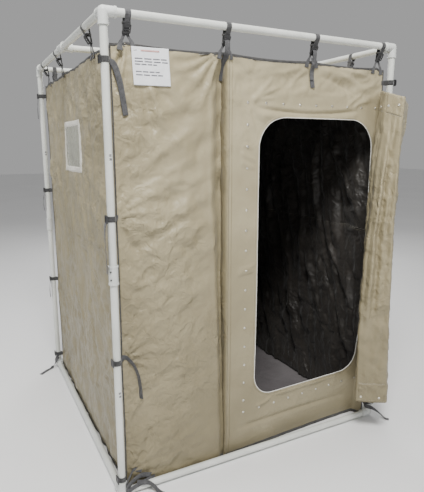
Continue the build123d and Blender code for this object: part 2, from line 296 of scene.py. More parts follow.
# ------------------------------------------------------------------ materials
def make_mat(name, c0, c1, cscale=2.5, cdetail=5.0, cramp=(0.35, 0.65), r0=0.5, r1=0.6, rscale=9.0, bumps=(), speck=None, painted_low_shade=None, mask=None, **sock):
    m = bpy.data.materials.new(name)
    m.use_nodes = True
    nt = m.node_tree
    nd, ln = nt.nodes, nt.links
    bsdf = nd["Principled BSDF"]
    tc = nd.new("ShaderNodeTexCoord")
    co = tc.outputs["Object"]

    def noise(scale, detail, rough=0.55, kind="FBM", dist=0.0, src=None):
        n = nd.new("ShaderNodeTexNoise")
        n.noise_type = kind
        n.inputs["Scale"].default_value = scale
        n.inputs["Detail"].default_value = detail
        n.inputs["Roughness"].default_value = rough
        n.inputs["Distortion"].default_value = dist
        ln.new(src or co, n.inputs["Vector"])
        return n.outputs["Fac"]

    def mapped(scale=(1, 1, 1), rot=(0, 0, 0)):
        mp = nd.new("ShaderNodeMapping")
        mp.inputs["Scale"].default_value = scale
        mp.inputs["Rotation"].default_value = rot
        ln.new(co, mp.inputs["Vector"])
        return mp.outputs["Vector"]

    def remap(src, lo, hi, a=0.0, b=1.0):
        r = nd.new("ShaderNodeMapRange")
        r.inputs["From Min"].default_value = lo
        r.inputs["From Max"].default_value = hi
        r.inputs["To Min"].default_value = a
        r.inputs["To Max"].default_value = b
        ln.new(src, r.inputs["Value"])
        return r.outputs["Result"]

    def math2(op, a, b):
        q = nd.new("ShaderNodeMath")
        q.operation = op
        for k, v in enumerate((a, b)):
            if isinstance(v, (int, float)):
                q.inputs[k].default_value = v
            else:
                ln.new(v, q.inputs[k])
        return q.outputs[0]

    mix = nd.new("ShaderNodeMix")
    mix.data_type = "RGBA"
    mix.inputs[6].default_value = (*c0, 1)
    mix.inputs[7].default_value = (*c1, 1)
    fac = remap(noise(cscale, cdetail, 0.6, dist=0.4), *cramp)
    ln.new(fac, mix.inputs[0])
    col = mix.outputs[2]
    if speck:
        sc, lo, hi, cc = speck
        s = nd.new("ShaderNodeMix")
        s.data_type = "RGBA"
        s.inputs[7].default_value = (*cc, 1)
        ln.new(col, s.inputs[6])
        ln.new(remap(noise(sc, 3.0, 0.7), lo, hi), s.inputs[0])
        col = s.outputs[2]
    if painted_low_shade:
        # painted shade: the cloth's colour is multiplied a little greyer and darker towards the ground, standing in for
        # the light falling off low down on the walls
        z0, z1, cc = painted_low_shade
        sp = nd.new("ShaderNodeSeparateXYZ")
        ln.new(co, sp.inputs[0])
        s = nd.new("ShaderNodeMix")
        s.data_type = "RGBA"
        s.blend_type = "MULTIPLY"
        s.inputs[7].default_value = (*cc, 1)
        ln.new(col, s.inputs[6])
        zz_ = math2("ADD", sp.outputs[2], math2("MULTIPLY", noise(1.7, 3.0), 0.5))
        ln.new(remap(zz_, z1, z0), s.inputs[0])
        col = s.outputs[2]
    ln.new(col, bsdf.inputs["Base Color"])
    ln.new(remap(noise(rscale, 4.0), 0.3, 0.7, r0, r1), bsdf.inputs["Roughness"])
    prev = None
    for kind, scale, dist, *rest in bumps:
        if kind == "noise":
            h = noise(scale, rest[0] if rest else 4.0)
        elif kind == "ridge":
            n1 = noise(scale, rest[0] if rest else 3.0, 0.45, dist=0.7)
            h = math2("SUBTRACT", 1.0, math2("ABSOLUTE", math2("SUBTRACT", math2("MULTIPLY", n1, 4.0), 2.0), 0.0))
            if mask:
                h = math2("MULTIPLY", h, remap(noise(mask[0], 2.0, 0.5), mask[1], mask[2], mask[3], 1.0))
        elif kind == "streak":
            h = noise(1.0, 4.0, src=mapped(scale=rest[0]))
        elif kind == "weave":
            wv = []
            for rot, direction in (((0, 0, math.radians(45)), "X"), ((0, 0, 0), "Z")):
                w = nd.new("ShaderNodeTexWave")
                w.wave_type = "BANDS"
                w.bands_direction = direction
                w.inputs["Scale"].default_value = scale
                w.inputs["Distortion"].default_value = 0.6
                w.inputs["Detail"].default_value = 1.0
                ln.new(mapped(rot=rot), w.inputs["Vector"])
                wv.append(w.outputs["Fac"])
            h = math2("MULTIPLY", wv[0], wv[1])
        elif kind == "cells":
            v = nd.new("ShaderNodeTexVoronoi")
            v.inputs["Scale"].default_value = scale
            ln.new(co, v.inputs["Vector"])
            h = v.outputs["Distance"]
        b = nd.new("ShaderNodeBump")
        b.inputs["Distance"].default_value = dist
        b.inputs["Strength"].default_value = 1.0
        ln.new(h, b.inputs["Height"])
        if prev is not None:
            ln.new(prev, b.inputs["Normal"])
        prev = b.outputs["Normal"]
    if prev is not None:
        ln.new(prev, bsdf.inputs["Normal"])
    for k, v in sock.items():
        bsdf.inputs[k.replace("_", " ")].default_value = v
    return m


# both tan cloths carry painted shade: their colour is multiplied darker and greyer towards the ground in place of the
# light's fall-off low down
TAN = make_mat("tan_coated_nylon", (0.268, 0.230, 0.141), (0.342, 0.297, 0.188), cscale=2.6, r0=0.34, r1=0.50,
               speck=(160.0, 0.60, 0.80, (0.36, 0.32, 0.215)), painted_low_shade=(0.15, 1.85, (0.66, 0.65, 0.62)), mask=(2.1, 0.42, 0.58, 0.15),
               bumps=(("ridge", 5.0, 0.0120, 3.0), ("ridge", 16.0, 0.0048, 3.0), ("noise", 55.0, 0.0006), ("weave", 260.0, 0.00010)),
               Sheen_Weight=0.05, Sheen_Roughness=0.4, Specular_IOR_Level=0.34)
TAN_TAUT = make_mat("tan_coated_nylon_taut", (0.318, 0.276, 0.175), (0.392, 0.344, 0.226), cscale=2.6, r0=0.36, r1=0.50,
                    speck=(160.0, 0.60, 0.80, (0.36, 0.32, 0.215)), painted_low_shade=(0.15, 1.85, (0.66, 0.65, 0.62)), mask=(2.6, 0.45, 0.62, 0.05),
                    bumps=(("ridge", 5.0, 0.0045, 3.0), ("ridge", 14.0, 0.0018, 3.0), ("noise", 50.0, 0.0005), ("weave", 260.0, 0.00010)),
                    Sheen_Weight=0.05, Sheen_Roughness=0.4, Specular_IOR_Level=0.34)
LINING = make_mat("black_lining", (0.013, 0.011, 0.009), (0.032, 0.028, 0.024), cscale=3.0, r0=0.40, r1=0.56,
                  bumps=(("ridge", 5.0, 0.010, 3.0), ("ridge", 15.0, 0.0040, 3.0), ("noise", 60.0, 0.0008), ("weave", 260.0, 0.00010)),
                  Sheen_Weight=0.10, Specular_IOR_Level=0.5)
GREY_FLOOR = make_mat("grey_groundsheet", (0.120, 0.110, 0.114), (0.170, 0.158, 0.162), cscale=2.0, r0=0.45, r1=0.62,
                      speck=(220.0, 0.58, 0.8, (0.21, 0.20, 0.20)),
                      bumps=(("ridge", 5.0, 0.003, 3.0), ("noise", 60.0, 0.0005), ("weave", 220.0, 0.00015)), Specular_IOR_Level=0.45)
UNDER = make_mat("groundsheet_underside", (0.05, 0.048, 0.046), (0.085, 0.08, 0.078), r0=0.6, r1=0.75,
                 bumps=(("ridge", 5.0, 0.002, 3.0), ("weave", 220.0, 0.00015)))
EDGE = make_mat("cut_cloth_edge", (0.42, 0.39, 0.32), (0.56, 0.53, 0.46), cscale=40.0, r0=0.7, r1=0.85, bumps=(("noise", 300.0, 0.0002),))
HEM = make_mat("light_hem_tape", (0.50, 0.47, 0.39), (0.66, 0.63, 0.54), cscale=14.0, r0=0.55, r1=0.7,
               bumps=(("weave", 300.0, 0.0002), ("noise", 60.0, 0.0006)), Sheen_Weight=0.1)
PIPING = make_mat("white_edge_piping", (0.66, 0.65, 0.60), (0.80, 0.79, 0.74), cscale=30.0, r0=0.5, r1=0.65, bumps=(("noise", 240.0, 0.0002),))
BIND = make_mat("black_binding_tape", (0.022, 0.021, 0.020), (0.055, 0.053, 0.052), cscale=30.0, r0=0.6, r1=0.8,
                bumps=(("weave", 300.0, 0.0003),), Sheen_Weight=0.15)
WEB = make_mat("charcoal_webbing", (0.034, 0.034, 0.037), (0.072, 0.072, 0.076), cscale=60.0, r0=0.55, r1=0.75,
               speck=(420.0, 0.55, 0.74, (0.115, 0.115, 0.12)), bumps=(("weave", 210.0, 0.0005), ("noise", 400.0, 0.0002)), Sheen_Weight=0.2)
WEB_BLACK = make_mat("black_webbing", (0.020, 0.020, 0.021), (0.050, 0.050, 0.052), cscale=60.0, r0=0.55, r1=0.75,
                     bumps=(("weave", 210.0, 0.0005), ("noise", 400.0, 0.0002)), Sheen_Weight=0.2)
PVC = make_mat("white_pvc_pipe", (0.555, 0.570, 0.535), (0.655, 0.670, 0.635), cscale=4.0, r0=0.30, r1=0.46, rscale=14.0,
               speck=(75.0, 0.64, 0.80, (0.52, 0.52, 0.50)), bumps=(("streak", 1.0, 0.0003, (60, 60, 9)), ("noise", 90.0, 0.00015)),
               Specular_IOR_Level=0.5, Coat_Weight=0.08, Coat_Roughness=0.3)
PVC_FIT = make_mat("moulded_pvc_fitting", (0.52, 0.535, 0.515), (0.62, 0.635, 0.615), cscale=16.0, r0=0.36, r1=0.52, rscale=24.0,
                   speck=(110.0, 0.60, 0.78, (0.48, 0.48, 0.46)), bumps=(("noise", 130.0, 0.0004), ("cells", 420.0, 0.00015)),
                   Specular_IOR_Level=0.45)
ACETAL = make_mat("black_acetal", (0.014, 0.014, 0.015), (0.032, 0.032, 0.034), cscale=40.0, r0=0.32, r1=0.5, rscale=60.0,
                  bumps=(("noise", 380.0, 0.00025), ("cells", 900.0, 0.0001)), Specular_IOR_Level=0.5)
NICKEL = make_mat("nickel_stud", (0.52, 0.50, 0.44), (0.72, 0.70, 0.64), cscale=90.0, r0=0.22, r1=0.42, rscale=160.0,
                  bumps=(("noise", 500.0, 0.0002),), Metallic=1.0)
PAINTED = make_mat("tan_stud_cap", (0.47, 0.43, 0.35), (0.60, 0.56, 0.47), cscale=90.0, r0=0.25, r1=0.38, rscale=120.0,
                   bumps=(("noise", 500.0, 0.0002),), Specular_IOR_Level=0.6)
SCREW = make_mat("black_screw", (0.03, 0.03, 0.03), (0.08, 0.08, 0.08), cscale=200.0, r0=0.3, r1=0.5, rscale=200.0,
                 bumps=(("noise", 700.0, 0.0002),), Metallic=0.6)
FILM = make_mat("cloudy_window_film", (0.325, 0.325, 0.255), (0.46, 0.46, 0.37), cscale=7.0, r0=0.12, r1=0.34, rscale=12.0,
                bumps=(("noise", 9.0, 0.004, 2.0), ("ridge", 14.0, 0.0015, 2.0)), Transmission_Weight=0.12, IOR=1.46, Coat_Weight=0.3, Coat_Roughness=0.12)
TAPE_M = make_mat("cream_woven_tape", (0.60, 0.575, 0.50), (0.74, 0.72, 0.65), cscale=22.0, r0=0.6, r1=0.78,
                  bumps=(("weave", 260.0, 0.0003), ("noise", 70.0, 0.0006)), Sheen_Weight=0.1)
CARD = make_mat("laminated_card", (0.72, 0.735, 0.76), (0.80, 0.815, 0.835), cscale=14.0, r0=0.20, r1=0.34, rscale=20.0,
                bumps=(("noise", 22.0, 0.0006, 2.0),), Coat_Weight=0.4, Coat_Roughness=0.15)
INK_RED = make_mat("card_header_bar", (0.50, 0.26, 0.24), (0.64, 0.38, 0.35), cscale=160.0, cdetail=2.0, r0=0.3, r1=0.45, bumps=(("noise", 300.0, 0.0001),))
INK = make_mat("card_grey_bars", (0.05, 0.05, 0.065), (0.20, 0.20, 0.23), cscale=190.0, cdetail=2.0, r0=0.3, r1=0.45, bumps=(("noise", 300.0, 0.0001),))
THREAD = make_mat("tan_thread", (0.30, 0.27, 0.20), (0.42, 0.385, 0.30), cscale=120.0, r0=0.6, r1=0.8, bumps=(("noise", 900.0, 0.0002),))
THREAD_L = make_mat("cream_thread", (0.58, 0.55, 0.47), (0.70, 0.67, 0.60), cscale=120.0, r0=0.6, r1=0.8, bumps=(("noise", 900.0, 0.0002),))
MARK = make_mat("pipe_mark", (0.05, 0.05, 0.055), (0.30, 0.30, 0.31), cscale=150.0, cdetail=2.0, r0=0.4, r1=0.6, bumps=(("noise", 400.0, 0.0001),))

SLOT_MAT = {"pipe": PVC, "fitting": PVC_FIT, "screw": SCREW, "tent_cloth": TAN, "floor_cloth": GREY_FLOOR, "window_film": FILM,
            "window_tape": TAPE_M, "card": CARD, "binding": BIND, "webbing": WEB, "buckle": ACETAL, "stud": NICKEL}
for sp in frame["record"]["subparts"]:
    ob = NODES[sp["node"]]
    m = SLOT_MAT[sp["material_slot"]]
    if not ob.material_slots:
        ob.data.materials.append(m)
    for ms in ob.material_slots:
        ms.material = m

# ------------------------------------------------------------- tent wall shape


def top_z(x, marks, peak=2026.0, dip=2012.0, drift=0.0, tilt=0.0):
    """Top edge of a wall: it hangs in shallow scallops between its straps."""
    z = np.full(np.shape(x), dip, float)
    m = [marks[0] - 2 * (marks[0] - 20)] + list(marks) + [marks[-1] + 2 * abs(1560 - marks[-1])]
    for a, b in zip(m[:-1], m[1:]):
        t = (x - a) / (b - a)
        inside = (t >= 0) & (t <= 1)
        sag = np.clip(1 - (2 * t - 1) ** 2, 0, 1) ** 0.7
        z = np.where(inside, peak - (peak - dip) * sag, z)
    return z + tilt * x


def corner_pull(z):
    """How far a wall's upright edge is pulled towards its post by the post straps."""
    out = 0.0
    for lv in LEVELS:
        out = out + np.exp(-np.abs(z - lv) / 150.0) * 7.0
    return out + 3.5 * gn(z / 210.0, 0.5, 91)


CRX = {"fl": (-1, -1), "fr": (1, -1), "bl": (-1, 1), "br": (1, 1)}


def corner_at(c, z):
    sx, sy = CRX[c]
    k = corner_pull(z + {"fl": 0, "fr": 37, "bl": 71, "br": 113}[c])
    low = sstep(30, -20, z)
    k = k * (1 - low) + 1.0 * low
    x = X0 if sx < 0 else X1
    y = Y0 if sy < 0 else Y1
    return x + sx * 0.55 * (k - 4), y + sy * 0.35 * (k - 4)


def front_out(x, z):
    """How far the front wall stands out (towards -Y) from its flat plane."""
    plain = sstep(577, 567, x)
    door = 1 - plain
    zz = np.clip((z + 20) / 2040, 0, 1)
    h = 15.0 * np.sin(math.pi * np.clip((x - 30) / 520, 0, 1)) ** 1.2 * np.sin(math.pi * zz) ** 0.6 * plain
    h = h + plain * 10.0 * bump1(z, 150, 130) * sstep(20, 120, x)
    # gathers under the first strap and the second
    h = h + plain * 17.0 * fan(x, z, (98, 2040), -142, -50, 9, 300, 3, 24)
    h = h + plain * 8.0 * fan(x, z, (98, 2035), -90, -20, 6, 520, 4, 60)
    h = h + plain * 11.0 * fan(x, z, (545, 2035), -172, -96, 8, 260, 5, 26)
    for k, lv in enumerate(LEVELS[:3]):
        h = h + plain * 9.0 * fan(x, z, (22, lv), -72, 72, 11, 190, 20 + k, 12)
    busy = 0.45 + 0.55 * np.exp(-(((z - 1350.0) / 520.0) ** 2))
    h = h + plain * 9.0 * busy * along(x, z, 24, 62, 420, 41) * sstep(40, 120, x)
    h = h + plain * 8.0 * busy * along(x, z, 52, 95, 500, 42)
    c1 = crumple(x / 210.0, z / 170.0, 7, 3, 0.52)
    c2 = crumple(x / 74.0, z / 62.0, 17, 2, 0.5)
    mid = 0.30 + 0.75 * bump1(z, 1280, 430) + 0.55 * bump1(z, 150, 130)
    calm = 1 - 0.75 * sstep(400, 480, x)
    h = h + plain * calm * (11.0 * c1 + 4.0 * c2) * mid
    # creases pulled across the plain panel
    for p, q, w, a, b in (((150, 1510), (470, 1720), 15, 4.0, 18), ((60, 1390), (420, 1600), 12, 4.0, -14),
                          ((60, 1180), (330, 1285), 10, 4.5, 12), ((110, 1120), (450, 1330), 12, 3.6, -10),
                          ((70, 1020), (300, 930), 10, 3.5, 8), ((80, 985), (380, 1050), 9, 3.4, 6),
                          ((200, 1860), (500, 1960), 14, -3.8, 12), ((330, 1790), (500, 1905), 12, 3.2, -10),
                          ((60, 270), (360, 330), 12, 4.0, 16), ((140, 160), (470, 235), 12, 3.6, -12),
                          ((60, 95), (380, 175), 10, 3.2, 10)):
        h = h + plain * 1.7 * a * crease(x, z, p, q, w, 0.6, b)
    # pleat beside the door panel: the cloth turns in behind the door panel's hem
    wide = 34.0 * sstep(500, 1500, z) * sstep(2020, 1900, z)
    h = h - plain * (56.0 - 32.0 * sstep(1100, 60, z) - 26 * sstep(1900, 2015, z)) * sstep(524 - wide + 8 * gn(z / 300, 1, 8), 565, x) ** 0.8
    h = h + plain * 5.0 * np.exp(-(((x - 518 + wide + 6 * gn(z / 240, 2, 9)) / 9.0) ** 2)) * sstep(200, 900, z)
    h = h + plain * 3.0 * along(x, z, 90, 16, 900, 43) * sstep(505, 535, x)
    card_flat = sstep(92, 122, x) * sstep(312, 284, x) * sstep(1836, 1866, z)
    h = h * (1 - 0.8 * card_flat) + 5.0 * card_flat
    # the taut door panel
    d = 1.6 * crumple(x / 150.0, z / 130.0, 27, 2, 0.5) + 1.4 * along(x, z, 80, 90, 500, 45)
    d = d * sstep(600, 650, x)
    up = sstep(1830, 1880, z)
    d = d + up * (8.5 * along(x, z, 12, 60, 380, 44) + 6.0 * crumple(x / 120.0, z / 100.0, 28, 3) - 5.0 * bump1(z, 1925, 55))
    # pocket under the top row of studs
    win = sstep(700, 800, x) * sstep(1400, 1290, x)
    zc = 1796 - 22 * np.sin(math.pi * np.clip((x - 700) / 680, 0, 1))
    d = d - 11.0 * win * np.exp(-np.abs((z - zc) / 9.0) ** 1.4) + 11.0 * win * np.exp(-(((z - zc + 26) / 20.0) ** 2))
    d = d + 3.5 * win * np.exp(-(((z - zc - 18) / 12.0) ** 2))
    for p, q, w, a, b in (((690, 1818), (905, 1905), 8, 4.0, 6), ((690, 1822), (850, 1960), 8, 3.5, -8), ((690, 1816), (860, 1845), 7, 3.0, 4),
                          ((690, 1808), (800, 1700), 9, 4.0, 8), ((684, 1800), (735, 1660), 9, 3.2, -6), ((655, 1815), (560, 1835), 7, 2.6, 3),
                          ((640, 1580), (745, 1530), 7, 3.6, 5), ((640, 1540), (748, 1505), 6, 3.0, -4), ((650, 1620), (730, 1600), 6, 2.4, 3),
                          ((640, 1004), (752, 1030), 5, 4.5, -5), ((632, 986), (752, 994), 5, 4.5, 3),
                          ((1080, 1990), (1470, 1880), 16, 4.5, 26), ((1090, 1960), (1400, 1850), 12, -3.8, 18), ((1120, 2005), (1500, 1960), 10, 3.5, 12),
                          ((1040, 1990), (900, 1870), 12, 3.4, -10), ((1290, 1812), (1430, 1900), 10, 3.0, 8),
                          ((1335, 1815), (1470, 1850), 9, 3.2, 10), ((1000, 1995), (760, 1950), 11, 3.0, 8),
                          ((760, 232), (880, 268), 7, 4.5, -10), ((860, 262), (1370, 262), 7, 5.0, 8),
                          ((600, 130), (1500, 118), 9, -5.0, 6)):
        d = d + 2.3 * a * crease(x, z, p, q, w + 1.5, 0.6, b)
    d = d - 12.0 * sstep(118, -20, z)
    # right hand strip beside the flap's hinge is drawn back
    h = h + door * d
    lean = 42.0 * sstep(420, 1500, x) * sstep(900, -20, z)
    return h - lean


def front_pt(x, z, lift=0.0):
    """A point on the front wall; lift is the distance in front of the cloth."""
    x, z = np.broadcast_arrays(np.asarray(x, float), np.asarray(z, float))
    s = (x - X0) / (X1 - X0)
    ax, ay = corner_at("fl", z)
    bx, by = corner_at("fr", z)
    edge = sstep(0, 34, x - X0) * sstep(0, 34, X1 - x)
    o = front_out(x, z)
    e2 = sstep(2035, 1985, z) * 0.85 + 0.15
    low = sstep(46, 26, z)
    o = o * edge * e2
    cap = 33.0 * (1 - low) + 3.0 * low
    o = np.minimum(o, cap)
    px = x + (ax - X0) * (1 - s) ** 3 + (bx - X1) * s**3
    py = Y0 + (ay - Y0) * (1 - s) ** 3 + (by - Y0) * s**3 - o - lift
    return np.stack([px, py, z], -1)


SEAM_Z = 1136.0


def side_out(y, z, seed, left):
    zz = np.clip((z + 20) / 2040, 0, 1)
    h = 12.0 * np.sin(math.pi * np.clip((y - 25) / 1572, 0, 1)) * np.sin(math.pi * zz) ** 0.7
    h = h + 9.0 * bump1(z, 120, 90) * np.sin(math.pi * np.clip((y - 25) / 1572, 0, 1)) ** 0.5
    for k, m in enumerate(RAIL_Y):
        h = h + 6.0 * fan(y, z, (m, 2035), -150, -30, 9, 300, seed + k, 30)
    for k, lv in enumerate(LEVELS[:3]):
        h = h + 5.0 * fan(y, z, (18, lv), -70, 70, 9, 240, seed + 7 + k, 12)
        h = h + 5.0 * fan(y, z, (1604, lv), 110, 250, 9, 240, seed + 10 + k, 12)
    h = h + 11.0 * along(y, z, 78, 85, 700, seed + 14) + 9.0 * along(y, z, 118, 110, 600, seed + 15)
    h = h + 9.0 * crumple(y / 230.0, z / 200.0, seed + 16, 3, 0.5) + 3.4 * crumple(y / 80.0, z / 70.0, seed + 19, 2)
    if left:
        # long creases that fall from the top corner by the near post
        for p, q, w, a, b in (((60, 1955), (250, 1080), 15, 6.0, 30), ((40, 1870), (180, 900), 12, -5.0, -20), ((150, 2000), (420, 1180), 16, 4.5, 20),
                              ((290, 1980), (620, 1350), 16, 4.0, -26), ((980, 1990), (700, 1500), 18, 3.5, 24), ((700, 1450), (300, 700), 18, 4.0, 30),
                              ((1450, 1980), (1200, 1100), 18, 4.0, -26), ((60, 640), (420, 300), 14, 4.0, 20), ((1560, 660), (1100, 240), 16, 4.0, -20),
                              ((120, 560), (700, 160), 14, 3.5, 22)):
            h = h + 1.7 * a * crease(y, z, p, q, w, 0.5, b)
        flat = sstep(235, 165, np.abs(y - WIN_Y)) * sstep(175, 105, np.abs(z - WIN_Z))
        h = h * (1 - 0.8 * flat) + 6.0 * flat
    else:
        # long folds that fall from the far top towards the near foot
        h = h - 20.0 * along(y, z, 72, 75, 900, seed + 24) - 13.0 * along(y, z, 84, 48, 700, seed + 25)
        for p, q, w, a, b in (((430, 1660), (100, 1150), 26, -17.0, -20), ((330, 1560), (130, 1230), 13, 9.0, -8), ((580, 1620), (430, 880), 24, -15.0, 24),
                              ((720, 1560), (640, 680), 26, -13.0, 14), ((430, 1020), (150, 620), 15, -13.0, -16), ((500, 930), (250, 540), 12, 9.0, 10),
                              ((930, 1600), (820, 600), 30, -12.0, 20), ((640, 880), (370, 300), 18, -12.0, -20), ((330, 700), (110, 240), 16, -10.0, 10),
                              ((1150, 1700), (1050, 500), 30, -12.0, -20), ((850, 700), (640, 200), 20, -10.0, 16), ((260, 1900), (60, 1500), 18, -10.0, 12)):
            h = h + 1.7 * a * crease(y, z, p, q, w, 0.5, b)
    # the level seam that joins the wall's two lengths of cloth
    h = h + 2.6 * np.exp(-(((z - SEAM_Z - 8 * gn(y / 300.0, 0.3, seed + 33)) / 9.0) ** 2)) * sstep(0, 30, h * 0 + y)
    return h


def side_pt(y, z, left=True, lift=0.0, seed=100):
    y, z = np.broadcast_arrays(np.asarray(y, float), np.asarray(z, float))
    s = (y - Y0) / (Y1 - Y0)
    c0, c1 = ("fl", "bl") if left else ("fr", "br")
    xb = X0 if left else X1
    sg = -1 if left else 1
    ax, ay = corner_at(c0, z)
    bx, by = corner_at(c1, z)
    o = side_out(y, z, seed, left)
    edge = sstep(0, 40, y - Y0) * sstep(0, 40, Y1 - y)
    e2 = sstep(2035, 1985, z) * 0.85 + 0.15
    low = sstep(46, 26, z)
    o = np.minimum(o * edge * e2, 24.0 * (1 - low) + 3.0 * low)
    px = xb + (ax - xb) * (1 - s) ** 3 + (bx - xb) * s**3 + sg * (o + lift)
    py = y + (ay - Y0) * (1 - s) ** 3 + (by - Y1) * s**3
    return np.stack([px, py, z], -1)


def back_pt(x, z, lift=0.0, seed=200):
    x, z = np.broadcast_arrays(np.asarray(x, float), np.asarray(z, float))
    s = (x - X0) / (X1 - X0)
    ax, ay = corner_at("bl", z)
    bx, by = corner_at("br", z)
    zz = np.clip((z + 20) / 2040, 0, 1)
    h = 12.0 * np.sin(math.pi * s) * np.sin(math.pi * zz) ** 0.7
    for k, m in enumerate(RAIL_X):
        h = h + 6.0 * fan(x, z, (m, 2035), -150, -30, 9, 300, seed + k, 30)
    for k, lv in enumerate(LEVELS[:3]):
        h = h + 5.0 * fan(x, z, (22, lv), -70, 70, 9, 240, seed + 7 + k, 12)
        h = h + 5.0 * fan(x, z, (1545, lv), 110, 250, 9, 240, seed + 10 + k, 12)
    h = h + 11.0 * along(x, z, 82, 85, 700, seed + 14) + 9.0 * along(x, z, 55, 110, 600, seed + 15)
    h = h + 9.0 * crumple(x / 230.0, z / 200.0, seed + 16, 3, 0.5) + 3.4 * crumple(x / 80.0, z / 70.0, seed + 19, 2)
    edge = sstep(0, 40, x - X0) * sstep(0, 40, X1 - x)
    low = sstep(46, 26, z)
    o = np.minimum(h * edge * (sstep(2035, 1985, z) * 0.85 + 0.15), 24.0 * (1 - low) + 3.0 * low)
    px = x + (ax - X0) * (1 - s) ** 3 + (bx - X1) * s**3
    py = Y1 + (ay - Y1) * (1 - s) ** 3 + (by - Y1) * s**3 + o + lift
    return np.stack([px, py, z], -1)


def front_top(x):
    return top_z(x, RAIL_X, 2027.0, 2016.0) - 3.0 * np.clip(x / 1567.0, 0, 1)


def side_top(y):
    return top_z(y, RAIL_Y, 2026.0, 2010.0)

# ------------------------------------------------------------------ tent walls
NU = 1.0


def lines(a, b, step, must=()):
    """Grid positions from a to b about step apart that include every value in must."""
    marks = sorted({a, b, *must})
    out = [a]
    for p, q in zip(marks[:-1], marks[1:]):
        n = max(1, int(round((q - p) / step * NU)))
        out += list(np.linspace(p, q, n + 1)[1:])
    return np.array(out)


def wall_grid(us, n, top, pt, zb=ZB):
    v = np.linspace(0, 1, n)
    U = np.repeat(us[:, None], n, 1)
    T = top(us)[:, None]
    Z = zb + (T - zb) * v[None, :]
    return pt(U, Z), U, Z


NZ = int(190 * NU)


def panel(name, us, pt, top, node, flip, flat, hung, cut=None, mats=(TAN, LINING, EDGE), zb=ZB, thick=0.0014, area=None, with_pieces=()):
    P, U, Z = wall_grid(us, NZ, top, pt, zb)
    f = grid_faces(len(us), NZ)
    if cut is not None:
        c = cut(U, Z).reshape(-1)
        f = f[~c[f].all(axis=1)]
    ob = shell(name, M(P.reshape(-1, 3)), f, thick, mats, flip=flip)
    me = ob.data
    if cut is not None:
        bm = bmesh.new()
        bm.from_mesh(me)
        bmesh.ops.delete(bm, geom=[v for v in bm.verts if not v.link_faces], context="VERTS")
        bm.to_mesh(me)
        bm.free()
    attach(ob, "root")
    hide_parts(node)
    return ob


# plain front panel: runs on behind the door panel's hem
fx = lines(X0, 598.0, 10.0, (516.0, 563.0))


def plain_pt(x, z):
    p = front_pt(np.minimum(x, 565.0), z)
    past = np.maximum(x - 565.0, 0)
    p[..., 0] += past
    p[..., 1] = np.where(past > 0, np.maximum(p[..., 1], front_pt(np.maximum(x, 565.0), z)[..., 1] + 6.0), p[..., 1])
    return p


front_plain = panel("front_panel_cloth", fx, plain_pt, front_top, "front_left_panel", False, None, None)


def ring_curve(grow, n_side):
    """The door opening grown by a margin, from the middle of one corner arc to the next: 4 sides, n_side points each."""
    x0, x1, z0, z1 = OX0 - grow, OX1 + grow, OZ0 - grow, OZ1 + grow
    rt, rb = max(ORT + grow, 4), max(ORB + grow, 4)

    def arc(cx, cz, r, a0, a1, n):
        a = np.radians(np.linspace(a0, a1, n))
        return np.stack([cx + r * np.cos(a), cz + r * np.sin(a)], -1)
    sides = []
    m = 60
    tl = (x0 + rt, z1 - rt)
    tr = (x1 - rt, z1 - rt)
    br = (x1 - rb, z0 + rb)
    bl = (x0 + rb, z0 + rb)
    raw = [
        np.vstack([arc(*tl, rt, 135, 90, m), arc(*tr, rt, 90, 45, m)]),
        np.vstack([arc(*tr, rt, 45, 0, m), arc(*br, rb, 0, -45, m)]),
        np.vstack([arc(*br, rb, -45, -90, m), arc(*bl, rb, -90, -135, m)]),
        np.vstack([arc(*bl, rb, 225, 180, m), arc(*tl, rt, 180, 135, m)]),
    ]
    for r in raw:
        s = np.r_[0, np.cumsum(np.linalg.norm(np.diff(r, axis=0), axis=1))]
        u = np.linspace(0, s[-1], n_side + 1)[:-1]
        sides.append(np.stack([np.interp(u, s, r[:, 0]), np.interp(u, s, r[:, 1])], -1))
    return np.vstack(sides)


NS = int(160 * NU)
inner = ring_curve(0.0, NS)
DX0, DX1 = 568.0, X1
corn = [(DX0, 1.0), (DX1, 1.0), (DX1, 0.0), (DX0, 0.0)]
outer = []
for a, b in zip(corn, corn[1:] + corn[:1]):
    t = np.linspace(0, 1, NS + 1)[:-1, None]
    outer.append(np.array(a) * (1 - t) + np.array(b) * t)
outer = np.vstack(outer)
outer_z = ZB + (front_top(outer[:, 0]) - ZB) * outer[:, 1]
outer = np.stack([outer[:, 0], outer_z], -1)
NR = int(42 * NU)
rr = np.linspace(0, 1, NR) ** 1.15
RX = inner[:, None, 0] * (1 - rr) + outer[:, None, 0] * rr
RZ = inner[:, None, 1] * (1 - rr) + outer[:, None, 1] * rr
DP = front_pt(RX, RZ)
# the door panel's left hem stands proud of the plain panel's pleat
hem_l = sstep(586, 571, RX)
DP[..., 1] = DP[..., 1] - 3.0 * hem_l
door_cloth = shell("door_panel_cloth", M(DP.reshape(-1, 3)), grid_faces(len(inner), NR, wrap=True), 0.0014, (TAN_TAUT, LINING, EDGE), flip=False)
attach(door_cloth, "root")
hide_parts("door_panel")


def ribbon_on(name, cx, cz, w0, w1, lift, thick, mat, pt, closed=True, node=None):
    """A flat tape on a wall: (cx, cz) is a line, w0..w1 its two edges measured along the line's side normal."""
    p = np.stack([cx, cz], -1)
    d = np.roll(p, -1, 0) - np.roll(p, 1, 0) if closed else np.gradient(p, axis=0)
    d /= np.maximum(np.linalg.norm(d, axis=1, keepdims=True), 1e-9)
    nrm = np.stack([-d[:, 1], d[:, 0]], -1)
    ks = np.linspace(w0, w1, 5)
    q = p[:, None, :] + nrm[:, None, :] * ks[None, :, None]
    lf = np.array([lift * 0.35, lift, lift, lift, lift * 0.35])
    P3 = pt(q[..., 0], q[..., 1], lf[None, :])
    ob = shell(name, M(P3.reshape(-1, 3)), grid_faces(len(p), 5, wrap=closed), thick, (mat, mat, mat))
    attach(ob, "root")
    if node:
        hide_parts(node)
    return ob


